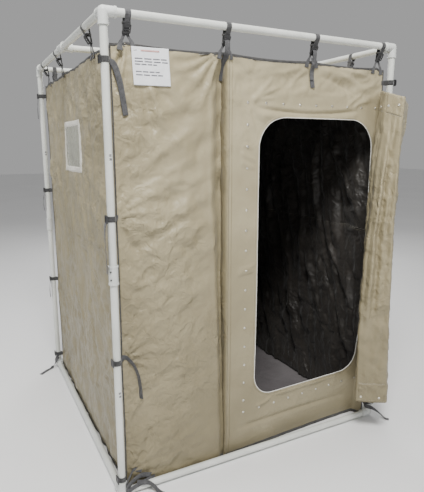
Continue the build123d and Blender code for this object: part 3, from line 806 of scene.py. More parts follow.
hem = ring_curve(6.0, int(150 * NU))
hem_ob = ribbon_on("door_opening_hem_tape", hem[:, 0], hem[:, 1], -5.6, 6.5, 1.4, 0.0012, TAN_TAUT, front_pt, node="door_opening_hem")


def tube_on(name, pts, r, mat, closed=False, n=8, body="root"):
    """A thin cord-like edge (piping, bead) along 3-D points in metres."""
    p = np.asarray(pts, float)
    t = (np.roll(p, -1, 0) - np.roll(p, 1, 0)) if closed else np.gradient(p, axis=0)
    t /= np.maximum(np.linalg.norm(t, axis=1, keepdims=True), 1e-12)
    ref = np.where(np.abs(t[:, 1:2]) < 0.9, np.array([[0, 1.0, 0]]), np.array([[1.0, 0, 0]]))
    a = np.cross(t, ref)
    a /= np.linalg.norm(a, axis=1, keepdims=True)
    b = np.cross(t, a)
    th = np.linspace(0, 2 * math.pi, n, endpoint=False)
    V = p[:, None, :] + r * (np.cos(th)[None, :, None] * a[:, None, :] + np.sin(th)[None, :, None] * b[:, None, :])
    i = np.arange(len(p) * n).reshape(len(p), n)
    j = np.roll(i, -1, axis=1)
    if closed:
        i2, j2 = np.vstack([i, i[:1]]), np.vstack([j, j[:1]])
    else:
        i2, j2 = i, j
    f = np.stack([i2[:-1], j2[:-1], j2[1:], i2[1:]], -1).reshape(-1, 4).tolist()
    if not closed:
        f += [list(i[0][::-1]), list(i[-1])]
    ob = mesh_obj(name, V.reshape(-1, 3), f, [mat])
    if body:
        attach(ob, body)
    return ob


pip = ring_curve(0.6, int(170 * NU))
tube_on("door_opening_piping", M(front_pt(pip[:, 0], pip[:, 1], 0.6)), 0.0021, PIPING, closed=True)


def stitches(name, pts, nrm, mat, pitch=5.2, length=3.3, r=0.00042, lift=0.0003, body="root"):
    """A row of thread stitches along 3-D points (metres); nrm is the outward direction."""
    p = np.asarray(pts, float)
    s = np.r_[0, np.cumsum(np.linalg.norm(np.diff(p, axis=0), axis=1))]
    n = int(s[-1] / (pitch * 0.001))
    if n < 2:
        return None
    st = np.linspace(0, s[-1] - length * 0.001, n)
    out_v, out_f = [], []
    nn = np.asarray(nrm, float)
    if nn.ndim == 1:
        nn = np.repeat(nn[None], len(p), 0)
    g = lambda q, arr: np.stack([np.interp(q, s, arr[:, k]) for k in range(3)], -1)
    A, B = g(st, p), g(st + length * 0.001, p)
    N = g(st + length * 0.0005, nn)
    N /= np.linalg.norm(N, axis=1, keepdims=True)
    T = B - A
    T /= np.maximum(np.linalg.norm(T, axis=1, keepdims=True), 1e-12)
    S = np.cross(T, N)
    Cc = (A + B) / 2 + N * (lift + r * 0.5)
    rings = []
    for q, sc in ((0.0, 0.25), (0.3, 1.0), (0.7, 1.0), (1.0, 0.25)):
        base = A * (1 - q) + B * q + N * (lift + r * 0.4 * sc)
        rings.append(np.stack([base + S * r * sc, base + N * r * sc * 1.2, base - S * r * sc, base - N * r * sc], 1))
    R = np.stack(rings, 1)
    m = len(st)
    i = np.arange(m * 16).reshape(m, 4, 4)
    j = np.roll(i, -1, axis=2)
    f = np.stack([i[:, :-1], j[:, :-1], j[:, 1:], i[:, 1:]], -1).reshape(-1, 4)
    caps = np.concatenate([i[:, 0, ::-1], i[:, 3, :]])
    ob = mesh_obj(name, R.reshape(-1, 3), np.concatenate([f, caps]), [mat])
    if body:
        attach(ob, body)
    return ob


FRONT_N = np.array([0, -1.0, 0])
st1 = ring_curve(3.4, int(170 * NU))
stitches("opening_stitch_inner", M(front_pt(st1[:, 0], st1[:, 1], 1.6)), FRONT_N, THREAD)
st2 = ring_curve(11.2, int(170 * NU))
stitches("opening_stitch_outer", M(front_pt(st2[:, 0], st2[:, 1], 1.4)), FRONT_N, THREAD)

# the door panel's turned left hem, with two stitch rows
hz = np.linspace(ZB + 1, front_top(np.array([574.0]))[0] - 2, int(200 * NU))
hx = 576.5 + 3.0 * gn(hz / 400, 0.2, 61) * 0.6


def hem_pt(x, z, lift=0.0):
    p = front_pt(x, z, lift)
    p[..., 1] -= 3.0 * sstep(586, 571, x)
    return p


ribbon_on("door_panel_left_hem", hx, hz, -8.0, 8.0, 2.0, 0.0016, TAN, hem_pt, closed=False)
for k, off in enumerate((-5.0, 5.5)):
    stitches(f"left_hem_stitch_{k + 1}", M(hem_pt(hx + off, hz, 2.2)), FRONT_N, THREAD)
# second welt to the right of the hem
tube_on("door_panel_inner_welt", M(front_pt(599.0 + 2 * gn(hz / 500, 3, 62), hz, 0.0)), 0.0022, TAN)


# ------------------------------------------------------ other walls and roof
PW, PH = WIN_W - 2 * TAPE, WIN_H - 2 * TAPE


def win_cut(u, z):
    return (np.abs(u - WIN_Y) < PW / 2 + 14) & (np.abs(z - WIN_Z) < PH / 2 + 14)


left_pt = lambda y, z, lift=0.0: side_pt(y, z, True, lift, 100)
right_pt = lambda y, z, lift=0.0: side_pt(y, z, False, lift, 300)
left_cloth = panel("left_wall_cloth", lines(Y0, Y1, 12.0), left_pt, side_top, "left_wall", True, None, None, cut=win_cut)
right_cloth = panel("right_wall_cloth", lines(Y0, Y1, 12.0), right_pt, side_top, "right_wall", False, None, None)
back_top = lambda x: top_z(x, RAIL_X, 2026.0, 2011.0)
back_cloth = panel("back_wall_cloth", lines(X0, X1, 12.0), back_pt, back_top, "back_wall", True, None, None)


# stitched level seams of the three plain walls
uu = np.linspace(40.0, 1560.0, int(240 * NU))
for nm, pt, nv_, seed in (("left", left_pt, (-1.0, 0, 0), 100), ("right", right_pt, (1.0, 0, 0), 300), ("back", back_pt, (0, 1.0, 0), 200)):
    u_ = uu if nm != "back" else uu * (1500.0 / 1560.0)
    for j, dz in enumerate((-5.0, 5.0)):
        zl = SEAM_Z + 8 * gn(u_ / 300.0, 0.3, seed + 33) + dz
        o = M(pt(u_, zl, 0.5))
        i = M(pt(u_, zl, -2.0))
        stitches(f"{nm}_wall_seam_stitch_{j + 1}_outside", o, np.array(nv_), THREAD)
        stitches(f"{nm}_wall_seam_stitch_{j + 1}_inside", i, -np.array(nv_), THREAD_L if j else THREAD)


def coons(nu, nv, zf, drop):
    u, v = np.linspace(0, 1, nu), np.linspace(0, 1, nv)
    x, y = X0 + (X1 - X0) * u, Y0 + (Y1 - Y0) * v
    F, B = front_pt(x, zf[0](x) - drop), back_pt(x, zf[1](x) - drop)
    L, R = left_pt(y, zf[2](y) - drop), right_pt(y, zf[3](y) - drop)
    U, V = u[:, None, None], v[None, :, None]
    bil = (1 - U) * (1 - V) * F[0] + U * (1 - V) * F[-1] + (1 - U) * V * B[0] + U * V * B[-1]
    return (1 - V) * F[:, None] + V * B[:, None] + (1 - U) * L[None] + U * R[None] - bil, u, v


RP, ru, rv = coons(int(120 * NU), int(124 * NU), (front_top, back_top, side_top, side_top), 4.0)
bu, bv = np.sin(math.pi * ru)[:, None], np.sin(math.pi * rv)[None, :]
sag = 52.0 * (bu**0.75) * (bv**0.75)
xx, yy = np.meshgrid(ru * 1507, rv * 1572, indexing="ij")
rise = 0.0
for m in RAIL_X:
    rise = rise + 9.0 * fan(xx + 30, -yy, (m, 30), -170, -10, 11, 240, int(m), 40) + 9.0 * fan(xx + 30, yy - 1572, (m, 30), -170, -10, 11, 240, int(m) + 1, 40)
for m in RAIL_Y:
    rise = rise + 9.0 * fan(yy + 25, -xx, (m, 30), -170, -10, 11, 240, int(m) + 2, 40) + 9.0 * fan(yy + 25, xx - 1507, (m, 30), -170, -10, 11, 240, int(m) + 3, 40)
wob = 8.0 * crumple(xx / 260, yy / 260, 401, 3) + 2.5 * crumple(xx / 90, yy / 90, 402, 2) + 6.0 * along(xx, yy, 35, 120, 700, 403)
seam = 5.0 * np.exp(-(((yy - 786) / 6.0) ** 2))
RP[..., 2] -= sag - (rise + wob + seam) * (bu * bv) ** 0.4
roof = shell("roof_cloth", M(RP.reshape(-1, 3)), grid_faces(len(ru), len(rv)), 0.0014, (TAN, LINING, EDGE))
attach(roof, "root")
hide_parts("tent_roof")

lowz = lambda x: np.full(np.shape(x), ZB)
FP, fu, fv = coons(int(120 * NU), int(124 * NU), (lowz, lowz, lowz, lowz), 0.0)
fxx, fyy = np.meshgrid(fu * 1507, fv * 1572, indexing="ij")
fb = (np.sin(math.pi * fu)[:, None] * np.sin(math.pi * fv)[None, :]) ** 0.35
fz = 2.0 + 3.0 * np.abs(crumple(fxx / 240, fyy / 240, 411, 3)) + 2.5 * np.clip(along(fxx, fyy, 12, 70, 500, 412), 0, 1) * 2 + 1.2 * np.abs(crumple(fxx / 80, fyy / 80, 413, 2))
fz = fz + 4.0 * crease(fxx, fyy, (40, 830), (1480, 850), 7, 1.0, 14) + 3.0 * crease(fxx, fyy, (300, 60), (420, 800), 9, 0.8, 30) + 3.5 * crease(fxx, fyy, (1100, 200), (600, 1480), 10, 0.8, 50)
FP[..., 2] += np.maximum(fz, 0) * fb
floor_cloth = shell("tent_floor_cloth", M(FP.reshape(-1, 3)), grid_faces(len(fu), len(fv)), 0.0014, (GREY_FLOOR, UNDER, UNDER))
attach(floor_cloth, "root")
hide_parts("tent_floor")
for k, off in enumerate((835.0, 866.0)):
    yv = np.full(160, off)
    xv = np.linspace(60, 1500, 160)
    iu, iv = (xv - 30) / 1507 * (len(fu) - 1), (yv - 25) / 1572 * (len(fv) - 1)
    a = FP[np.clip(iu.round().astype(int), 0, len(fu) - 1), np.clip(iv.round().astype(int), 0, len(fv) - 1)]
    a = np.stack([xv, yv, a[:, 2] + 0.4], -1)
    stitches(f"floor_seam_stitch_{k + 1}", M(a), np.array([0, 0, 1.0]), WEB)


# --------------------------------------------------------------- edge binding
def resample(p, n):
    s = np.r_[0, np.cumsum(np.linalg.norm(np.diff(p, axis=0), axis=1))]
    u = np.linspace(0, s[-1], n)
    return np.stack([np.interp(u, s, p[:, k]) for k in range(3)], -1)


binds = []
xs, ys = np.linspace(X0, X1, 220), np.linspace(Y0, Y1, 220)
for nm, p in (("front", front_pt(xs, front_top(xs))), ("back", back_pt(xs, back_top(xs))), ("left", left_pt(ys, side_top(ys))), ("right", right_pt(ys, side_top(ys)))):
    p = p + np.array([0, 0, -3.0])
    binds.append(sweep(f"bind_top_{nm}", M(p), np.array([0, 0, 1.0]), 0.0125, 0.0046, BIND, ride=None, round_=0.9))
for nm, fn, a, out in (("front", front_pt, xs, None), ("back", back_pt, xs, None), ("left", left_pt, ys, None), ("right", right_pt, ys, None)):
    p = fn(a, np.full(a.shape, ZB + 10.0), 1.3)
    binds.append(sweep(f"bind_low_{nm}", M(p), np.array([0, 0, 1.0]), 0.016, 0.0022, BIND, ride=None))
zz_ = np.linspace(ZB + 3, 2018, 260)
for nm, key in (("fl", "fl"), ("fr", "fr"), ("bl", "bl"), ("br", "br")):
    cx, cy = corner_at(key, zz_)
    binds.append(tube_on(f"bind_corner_{nm}", M(np.stack([cx, cy, zz_], -1)), 0.0032, BIND, body=None))
bind = join("edge_binding_tape", binds)
for pl in bind.data.polygons:
    pl.use_smooth = True
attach(bind, "root")
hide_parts("edge_binding")

# --------------------------------------------------------------------- window
wins = []


def tape_strip(name, y0, y1, z0, z1, lift):
    ya, za = np.linspace(y0, y1, max(3, int(abs(y1 - y0) / 7))), np.linspace(z0, z1, max(3, int(abs(z1 - z0) / 7)))
    U, V = np.meshgrid(ya, za, indexing="ij")
    e = np.minimum(np.minimum(U - y0, y1 - U), np.minimum(V - z0, z1 - V))
    P = left_pt(U, V, lift * sstep(-0.5, 2.5, e) + 0.3)
    return shell(name, M(P.reshape(-1, 3)), grid_faces(len(ya), len(za)), 0.0006, (TAPE_M,), flip=True)


wy0, wy1, wz0, wz1 = WIN_Y - WIN_W / 2, WIN_Y + WIN_W / 2, WIN_Z - WIN_H / 2, WIN_Z + WIN_H / 2
strips = [tape_strip("t1", wy0, wy1, wz1 - TAPE, wz1, 1.6), tape_strip("t2", wy0, wy1, wz0, wz0 + TAPE, 1.6),
          tape_strip("t3", wy0, wy0 + TAPE, wz0 + 2, wz1 - 2, 2.3), tape_strip("t4", wy1 - TAPE, wy1, wz0 + 2, wz1 - 2, 2.3)]
tape_ob = join("window_tape", strips)
for pl in tape_ob.data.polygons:
    pl.use_smooth = True
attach(tape_ob, "root")
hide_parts("window_tape_frame")
for k, g in enumerate((3.5, TAPE - 3.5)):
    rect = [(wy0 + g, wz0 + g), (wy1 - g, wz0 + g), (wy1 - g, wz1 - g), (wy0 + g, wz1 - g), (wy0 + g, wz0 + g)]
    pp = np.vstack([np.linspace(a, b, 60)[:-1] for a, b in zip(rect[:-1], rect[1:])] + [np.array([rect[-1]])])
    stitches(f"window_stitch_{k + 1}", M(left_pt(pp[:, 0], pp[:, 1], 2.6)), np.array([-1.0, 0, 0]), THREAD_L)
ya, za = np.linspace(wy0 + 6, wy1 - 6, 60), np.linspace(wz0 + 6, wz1 - 6, 44)
U, V = np.meshgrid(ya, za, indexing="ij")
fe = sstep(0, 40, np.minimum(np.minimum(U - ya[0], ya[-1] - U), np.minimum(V - za[0], za[-1] - V)))
P = left_pt(U, V, 0.1 + 2.6 * fe * (gn(U / 120, V / 90, 71) + 0.4 * gn(U / 45, V / 40, 72)))
film = shell("window_film_sheet", M(P.reshape(-1, 3)), grid_faces(len(ya), len(za)), 0.0005, (FILM,), flip=True)
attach(film, "root")
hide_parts("window_pane")

# ---------------------------------------------------------------- notice card
ca, cb = np.linspace(0, 1, 40), np.linspace(0, 1, 38)
CU, CV = np.meshgrid(ca, cb, indexing="ij")


def card_pt(u, v, lift=0.0):
    x = 117 + 164 * u + 6.0 * (1 - v)
    z = 1862 + 152 * v + (2.0 * u) - 1.0
    y = front_pt(x, z)[..., 1]
    ysm = (front_pt(117 + 20 + 0 * x, 1990 + 0 * z)[..., 1] * (1 - u) + front_pt(281 - 12 + 0 * x, 1990 + 0 * z)[..., 1] * u)
    y = np.minimum(y - 1.2, ysm - 4.0 - 5.0 * (1 - v) ** 2 + 3.0 * np.sin(math.pi * u) * (1 - v)) - lift
    return np.stack([x, y, z], -1)


card = shell("notice_card_sheet", M(card_pt(CU, CV).reshape(-1, 3)), grid_faces(40, 38), 0.0008, (CARD,))
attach(card, "root")
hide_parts("notice_card")


def bar(u0, u1, v0, v1, mat, name):
    a, b = np.meshgrid(np.linspace(u0, u1, 12), np.linspace(v0, v1, 3), indexing="ij")
    ob = shell(name, M(card_pt(a, b, 0.35).reshape(-1, 3)), grid_faces(12, 3), 0.0003, (mat,))
    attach(ob, "root")
    return ob


bar(0.24, 0.74, 0.885, 0.93, INK_RED, "card_header_bar_mark")
rows = [(0.07, 0.93, 0.70), (0.07, 0.96, 0.625), (0.07, 0.66, 0.55), (0.08, 0.72, 0.36), (0.08, 0.80, 0.275)]
for k, (a, b, v) in enumerate(rows):
    segs = [0.0, 0.24, 0.29, 0.52, 0.57, 0.78, 0.82, 1.0]
    for j in range(0, 8, 2):
        bar(a + (b - a) * segs[j], a + (b - a) * segs[j + 1], v - 0.016, v + 0.016, INK, f"card_grey_bar_{k + 1}_{j // 2 + 1}")

# ---------------------------------------------------------------- press studs


def disc_profile(name, centres, normals, prof, mat, n=14, body="root", node=None):
    """Small turned parts: prof is [(radius mm, height mm)...] from the base up, set at each centre along each normal."""
    V, F = [], []
    k = 0
    th = np.linspace(0, 2 * math.pi, n, endpoint=False)
    for c, nn in zip(np.asarray(centres, float), np.asarray(normals, float)):
        nn = nn / np.linalg.norm(nn)
        a = np.cross(nn, [0, 0, 1.0])
        if np.linalg.norm(a) < 1e-3:
            a = np.array([1.0, 0, 0])
        a /= np.linalg.norm(a)
        b = np.cross(nn, a)
        rings = [c + nn * h * 0.001 + r * 0.001 * (np.cos(th)[:, None] * a + np.sin(th)[:, None] * b) for r, h in prof]
        V.append(np.vstack(rings))
        i = k + np.arange(len(prof) * n).reshape(len(prof), n)
        j = np.roll(i, -1, 1)
        F += np.stack([i[:-1], i[1:], j[1:], j[:-1]], -1).reshape(-1, 4)[:, ::-1].tolist()
        F.append(list(i[0][::-1]))
        F.append(list(i[-1]))
        k += len(prof) * n
    ob = mesh_obj(name, np.vstack(V), F, [mat])
    if body:
        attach(ob, body)
    if node:
        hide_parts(node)
    return ob


SX, SZ, SPI = 684.0, 1815.0, 102.0
cols = [(SX, SZ - SPI * i) for i in range(17)]
cols = [p for p in cols if p[1] > 247]
snaps = cols + [(SX + SPI * i, SZ) for i in range(1, 9)] + [(SX + SPI * i, 217.0) for i in range(0, 9)]
sn = np.array(snaps)
STUD = [(6.6, -0.6), (6.8, 0.3), (6.4, 0.9), (4.2, 1.1), (3.2, 1.4), (3.0, 2.6), (3.5, 3.1), (3.2, 3.9), (1.8, 4.3), (0.4, 4.35)]
disc_profile("press_stud_posts", M(front_pt(sn[:, 0], sn[:, 1], 0.2)), np.repeat([[0, -1.0, 0]], len(sn), 0), STUD, NICKEL, node="press_studs")

# ------------------------------------------------------------------ door flap
LEAF = [210.0, 166.0, 188.0, 158.0, 150.0]
DEG = [38.0, 107.0, 84.0, 173.0, -160.0]
HX, HY, GAP = 1530.0, 17.0, 8.0
FZ0, FZ1 = 187.0, 1851.0
st_ = np.r_[0, np.cumsum(LEAF)]
AX = [(HX - st_[k], HY + (0, -6, -6, -6, 6)[k]) for k in range(5)]


def turn(x, y, deg):
    c, s = math.cos(math.radians(deg)), math.sin(math.radians(deg))
    r = np.array([[c, -s, 0], [s, c, 0], [0, 0, 1.0]])
    t = np.eye(3)
    t[:2, 2] = (x, y)
    u = np.eye(3)
    u[:2, 2] = (-x, -y)
    return t @ r @ u


POSE = []
acc = np.eye(3)
for k in range(5):
    acc = acc @ turn(*AX[k], DEG[k])
    POSE.append(acc.copy())


def on_leaf(k, s):
    """Plan point of the flap at distance s from its hinge, carried by panel k."""
    m = np.eye(3) if k < 0 else POSE[k]
    q = m @ np.array([HX - s, HY, 1.0])
    d = m[:2, :2] @ np.array([-1.0, 0])
    return q[:2], d


cols_s, cols_xy, cols_dir, cols_k = [], [], [], []
zones = []
lo = 6.0
for k in range(5):
    hi = st_[k + 1] - (GAP if k < 4 else 0.0)
    n = max(10, int((hi - lo) / 9 * NU))
    for s in np.linspace(lo, hi, n):
        q, d = on_leaf(k, s)
        cols_s.append(s); cols_xy.append(q); cols_dir.append(d); cols_k.append((k, k, 0.0))
    if k < 4:
        a, da = on_leaf(k, hi)
        b, db = on_leaf(k + 1, hi + 2 * GAP)
        L = 2 * GAP
        for t in np.linspace(0, 1, 10)[1:-1]:
            h00, h10, h01, h11 = 2 * t**3 - 3 * t**2 + 1, t**3 - 2 * t**2 + t, -2 * t**3 + 3 * t**2, t**3 - t**2
            q = h00 * a + h10 * L * 1.3 * da + h01 * b + h11 * L * 1.3 * db
            d = da * (1 - t) + db * t + 1e-6
            cols_s.append(hi + L * t); cols_xy.append(q); cols_dir.append(d / np.linalg.norm(d)); cols_k.append((k, k + 1, t))
        zones.append((hi, hi + L))
        lo = hi + 2 * GAP
cols_s, cols_xy, cols_dir = np.array(cols_s), np.array(cols_xy), np.array(cols_dir)
NZF = int(150 * NU)
vv = np.linspace(0, 1, NZF)
S = np.repeat(cols_s[:, None], NZF, 1)
top_f = FZ1 + 50.0 * sstep(440, 60, cols_s) - 24.0 * np.exp(-(((cols_s - 570.0) / 90.0) ** 2))
bot_f = FZ0 + 4.0 * gn(cols_s / 120, 0.3, 505) + 0 * cols_s
ZF = bot_f[:, None] + (top_f - bot_f)[:, None] * vv[None, :]
XY = np.repeat(cols_xy[:, None, :], NZF, 1)
# the hung bundle slants: its front fold swings in at the foot, the rest is drawn in at mid height
zk = np.array([187.0, 400.0, 600.0, 800.0, 1000.0, 1200.0, 1400.0, 1600.0, 1700.0, 1901.0])
left_in = np.interp(ZF, zk, [-20.0, -26.0, -28.0, -26.0, -16.0, 2.0, 24.0, 43.0, 50.0, 56.0])
right_in = np.interp(ZF, zk, [-24.0, -38.0, -48.0, -58.0, -66.0, -70.0, -70.0, -68.0, -64.0, -56.0])
back_in = np.interp(ZF, zk, [-5.0, -16.0, -32.0, -50.0, -58.0, -60.0, -60.0, -46.0, -10.0, 6.0])
across = np.clip((XY[..., 0] - 1364.0) / 136.0, 0, 1)
away = sstep(8.0, -95.0, XY[..., 1])
front_ = sstep(-75.0, -190.0, XY[..., 1])
slant = away * left_in * (1 - across) + across * (front_ * right_in + (1 - front_) * sstep(20.0, -50.0, XY[..., 1]) * back_in)
XY[..., 0] += slant
dirn = cols_dir[:, None, :]
nrm2 = np.stack([-dirn[..., 1], dirn[..., 0]], -1) * np.ones((1, NZF, 1))
ends = sstep(FZ0, FZ0 + 110, ZF) * sstep(FZ1 - 10, FZ1 - 130, ZF)
midh = np.exp(-(((ZF - 1100.0) / 480.0) ** 2))
edge_e = sstep(872, 800, S)
lat = 9.0 * crumple(S / 95.0, ZF / 150.0, 501, 3, 0.5) + 3.2 * crumple(S / 44.0, ZF / 66.0, 502, 2)
lat = lat + 9.0 * along(S, ZF, 84, 38, 600, 503) + 7.0 * midh * np.cos(S / 11.0 + 0.5 * gn(ZF / 180.0, 0.4, 507)) * sstep(214, 236, S) * sstep(376, 350, S)
for p, q, w, a, b in (((225, 1640), (360, 1500), 9, 6.0, 8), ((220, 1420), (350, 1330), 9, -6.0, -8), ((230, 1180), (370, 1040), 10, 6.5, 10),
                      ((215, 900), (340, 760), 10, 6.0, -10), ((240, 1760), (240, 1200), 8, 6.0, 8), ((250, 700), (372, 560), 10, -5.0, 6),
                      ((30, 1500), (190, 1100), 12, 6.0, 12), ((400, 1600), (540, 1200), 12, 6.0, 10)):
    lat = lat + a * crease(S, ZF, p, q, w, 0.6, b)
# deep valley beside the front fold, and the bright ridge next to it
vc = 248.0 + 10.0 * gn(ZF / 260.0, 0.2, 508)
vdep = 24.0 * sstep(520, 900, ZF) * sstep(1800, 1500, ZF)
lat = lat - vdep * np.exp(-(((S - vc) / 17.0) ** 2)) + 0.45 * vdep * np.exp(-(((S - vc - 44.0) / 16.0) ** 2))
fold_near = np.ones_like(S)
for k, (a, b) in enumerate(zones):
    c = (a + b) / 2
    calm_to = (0.45, 0.45, 0.3, 0.3)[k]
    fold_near = fold_near * (1 - (1 - calm_to) * np.exp(-(((S - c) / 22.0) ** 2)))
lat = lat * ends * fold_near * (0.35 + 0.65 * edge_e) * sstep(0, 40, S)
lat = lat * np.where(S > 534, 0.55, 1.0)
FPNT = np.concatenate([XY + nrm2 * lat[..., None], ZF[..., None]], -1)
flap_pts = M(FPNT.reshape(-1, 3))
nc = len(cols_s)
gf = grid_faces(nc, NZF)[:, ::-1]
FN = vnormals(flap_pts, gf)
# zone borders as column numbers
names5 = ["a", "b", "c", "d", "e"]


def flap_piece(name, c0, c1):
    ids = np.arange(nc * NZF).reshape(nc, NZF)[c0:c1 + 1].reshape(-1)
    f = grid_faces(c1 - c0 + 1, NZF)[:, ::-1]
    ob = shell(name, flap_pts[ids], f, 0.0016, (TAN, TAN, EDGE), normals=FN[ids])
    n = FN[ids]
    ob.data.normals_split_custom_set_from_vertices([tuple(v) for v in np.concatenate([n, -n])])
    return ob


kk = np.array([c[0] if c[2] == 0.0 and c[0] == c[1] else -1 for c in cols_k])
flap_obs = []
for k in range(5):
    ci = np.where(kk == k)[0]
    ob = flap_piece(f"flap_cloth_{names5[k]}", ci[0], ci[-1])
    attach(ob, "door_flap_" + names5[k])
    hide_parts(f"door_flap_panel_{names5[k]}")
    flap_obs.append((ob, ci[0], ci[-1]))
for k in range(4):
    c0, c1 = flap_obs[k][2], flap_obs[k + 1][1]
    ob = flap_piece(f"flap_fold_cloth_{k + 1}", c0, c1)
    p, q = FPNT[c0, 0, :2], FPNT[c1, 0, :2]
    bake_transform(ob)
    # weights that would share the turn along the cloth, from one panel's edge to the next, are worked out here but not
    # applied; the fold piece keeps the shape it was built in
    t = np.clip((cols_s[c0:c1 + 1] - cols_s[c0]) / (cols_s[c1] - cols_s[c0]), 0, 1)
    w = (t * t * (3 - 2 * t))[:, None] * np.ones((1, NZF))


def flap_at(s, z, off=0.0):
    """A point on the flap and its outward direction; off lifts it off the outer face, in mm."""
    ci = np.interp(s, cols_s, np.arange(nc))
    zi = np.clip((z - np.interp(s, cols_s, bot_f)) / (np.interp(s, cols_s, top_f) - np.interp(s, cols_s, bot_f)), 0, 1) * (NZF - 1)
    a, b = np.floor(ci).astype(int), np.floor(zi).astype(int)
    a, b = np.clip(a, 0, nc - 2), np.clip(b, 0, NZF - 2)
    fa, fb = (ci - a)[..., None], (zi - b)[..., None]
    G = flap_pts.reshape(nc, NZF, 3)
    N = FN.reshape(nc, NZF, 3)
    bl = lambda A: (A[a, b] * (1 - fa) + A[a + 1, b] * fa) * (1 - fb) + (A[a, b + 1] * (1 - fa) + A[a + 1, b + 1] * fa) * fb
    n = bl(N)
    n = n / np.linalg.norm(n, axis=-1, keepdims=True)
    return bl(G) + n * off * 0.001, n


# stitched borders of the flap, panel by panel
for k, (ob, c0, c1) in enumerate(flap_obs):
    s = cols_s[c0:c1 + 1]
    body = "door_flap_" + names5[k]
    rows_z = [FZ0 + 10, FZ0 + 112, FZ0 + 117]
    for j, zr in enumerate(rows_z):
        for side, off in (("o", 0.3), ("i", -1.9)):
            p, n = flap_at(s, np.full(s.shape, zr), off)
            stitches(f"flap_{names5[k]}_border_low_{j + 1}{side}", p, n if side == "o" else -n, THREAD_L, body=body)
    for j, dz in enumerate((10.0, 96.0, 101.0)):
        zt_ = np.interp(s, cols_s, top_f) - dz
        for side, off in (("o", 0.3), ("i", -1.9)):
            p, n = flap_at(s, zt_, off)
            stitches(f"flap_{names5[k]}_border_top_{j + 1}{side}", p, n if side == "o" else -n, THREAD_L, body=body)
    if k == 4:
        zz = np.linspace(FZ0 + 4, FZ1 - 4, 220)
        for j, ds in enumerate((6.0, 60.0)):
            for side, off in (("o", 0.3), ("i", -1.9)):
                p, n = flap_at(np.full(zz.shape, st_[5] - ds), zz, off)
                stitches(f"flap_e_edge_{j + 1}{side}", p, n if side == "o" else -n, THREAD_L, body=body)
    # raised hem bands
    for nm, z0, z1 in (("low", FZ0, FZ0 + 114), ("top", -99.0, 0.0)):
        q = np.linspace(0, 1, 12)
        if nm == "low":
            Zb = z0 + (z1 - z0) * q[None, :] + 0 * s[:, None]
        else:
            Zb = np.interp(s, cols_s, top_f)[:, None] + z0 + (z1 - z0) * q[None, :]
        Sb = np.repeat(s[:, None], 12, 1)
        po, no = flap_at(Sb, Zb, 0.0)
        lift = 0.0009 * np.where((q == 0) | (q == 1), 0.3, 1.0)[None, :, None]
        f = grid_faces(len(s), 12)[:, ::-1]
        band = shell(f"flap_{names5[k]}_band_{nm}_out", (po + no * lift).reshape(-1, 3), f, 0.0008, (TAN,))
        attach(band, body)
        band = shell(f"flap_{names5[k]}_band_{nm}_in", (po - no * (0.0016 + lift)).reshape(-1, 3), f[:, ::-1], 0.0008, (TAN,))
        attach(band, body)

# caps and sockets of the flap's press studs
for k in range(5):
    s_lo = 6.0 if k == 0 else st_[k] + GAP
    s_hi = st_[k + 1] - (GAP if k < 4 else 0.0)
    c = [(HX - x, z) for x, z in snaps if s_lo - 6 < HX - x < s_hi + 6]
    c = np.array(c)
    body = "door_flap_" + names5[k]
    p, n = flap_at(c[:, 0], c[:, 1], 0.6)
    disc_profile(f"stud_caps_{names5[k]}", p, n, [(6.9, -0.4), (7.2, 0.2), (6.8, 1.0), (5.0, 1.6), (2.5, 1.9), (0.3, 2.0)], PAINTED, body=body, node=f"snap_caps_{names5[k]}")
    disc_profile(f"stud_sockets_{names5[k]}", p - n * 0.0028, -n, [(6.8, -0.4), (6.8, 0.4), (6.2, 1.2), (5.0, 2.6), (4.2, 3.0), (3.6, 2.8), (3.4, 1.2), (0.3, 1.0)], NICKEL, body=body)

# sewn hinge: one edge on the door panel, the other on the flap's first panel
zz = np.linspace(FZ0 - 4, FZ1 + 56, int(170 * NU))
root_pt = front_pt(np.full(zz.shape, 1534.0), zz, 2.2)
root_pt2 = front_pt(np.full(zz.shape, 1526.5), zz, 3.4)
fl, fn_ = flap_at(np.full(zz.shape, 6.5), zz, 0.0)
fl = fl / 0.001 + SHIFT
fl2 = flap_at(np.full(zz.shape, 13.0), zz, 0.0)[0] / 0.001 + SHIFT
colsH = [root_pt, root_pt * 0.55 + root_pt2 * 0.45 + np.array([0, -0.8, 0]), root_pt2 * 0.72 + fl * 0.28, root_pt2 * 0.35 + fl * 0.65, fl, fl2]
HG = np.stack(colsH, 0)
hinge_cloth = shell("flap_hinge_sheet", M(HG.reshape(-1, 3)), grid_faces(len(colsH), len(zz))[:, ::-1], 0.0012, (TAN, TAN, EDGE))
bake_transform(hinge_cloth)
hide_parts("flap_hinge_tape")

# ----------------------------------------------------------- webbing and ties
TIPY, TIPZ = 25.5, -67.0
rail_frames = []
for kind, plist in (("front", RAIL_X), ("back", RAIL_X), ("left", RAIL_Y), ("right", RAIL_Y)):
    for i, p in enumerate(plist):
        if kind == "front":
            o, inn, al = np.array([p, 0, H]), np.array([0, 1.0, 0]), np.array([1.0, 0, 0])
        elif kind == "back":
            o, inn, al = np.array([p, D, H]), np.array([0, -1.0, 0]), np.array([-1.0, 0, 0])
        elif kind == "left":
            o, inn, al = np.array([0, p, H]), np.array([1.0, 0, 0]), np.array([0, -1.0, 0])
        else:
            o, inn, al = np.array([W, p, H]), np.array([-1.0, 0, 0]), np.array([0, 1.0, 0])
        rail_frames.append((kind, i, o, inn, al))
UP = np.array([0, 0, 1.0])


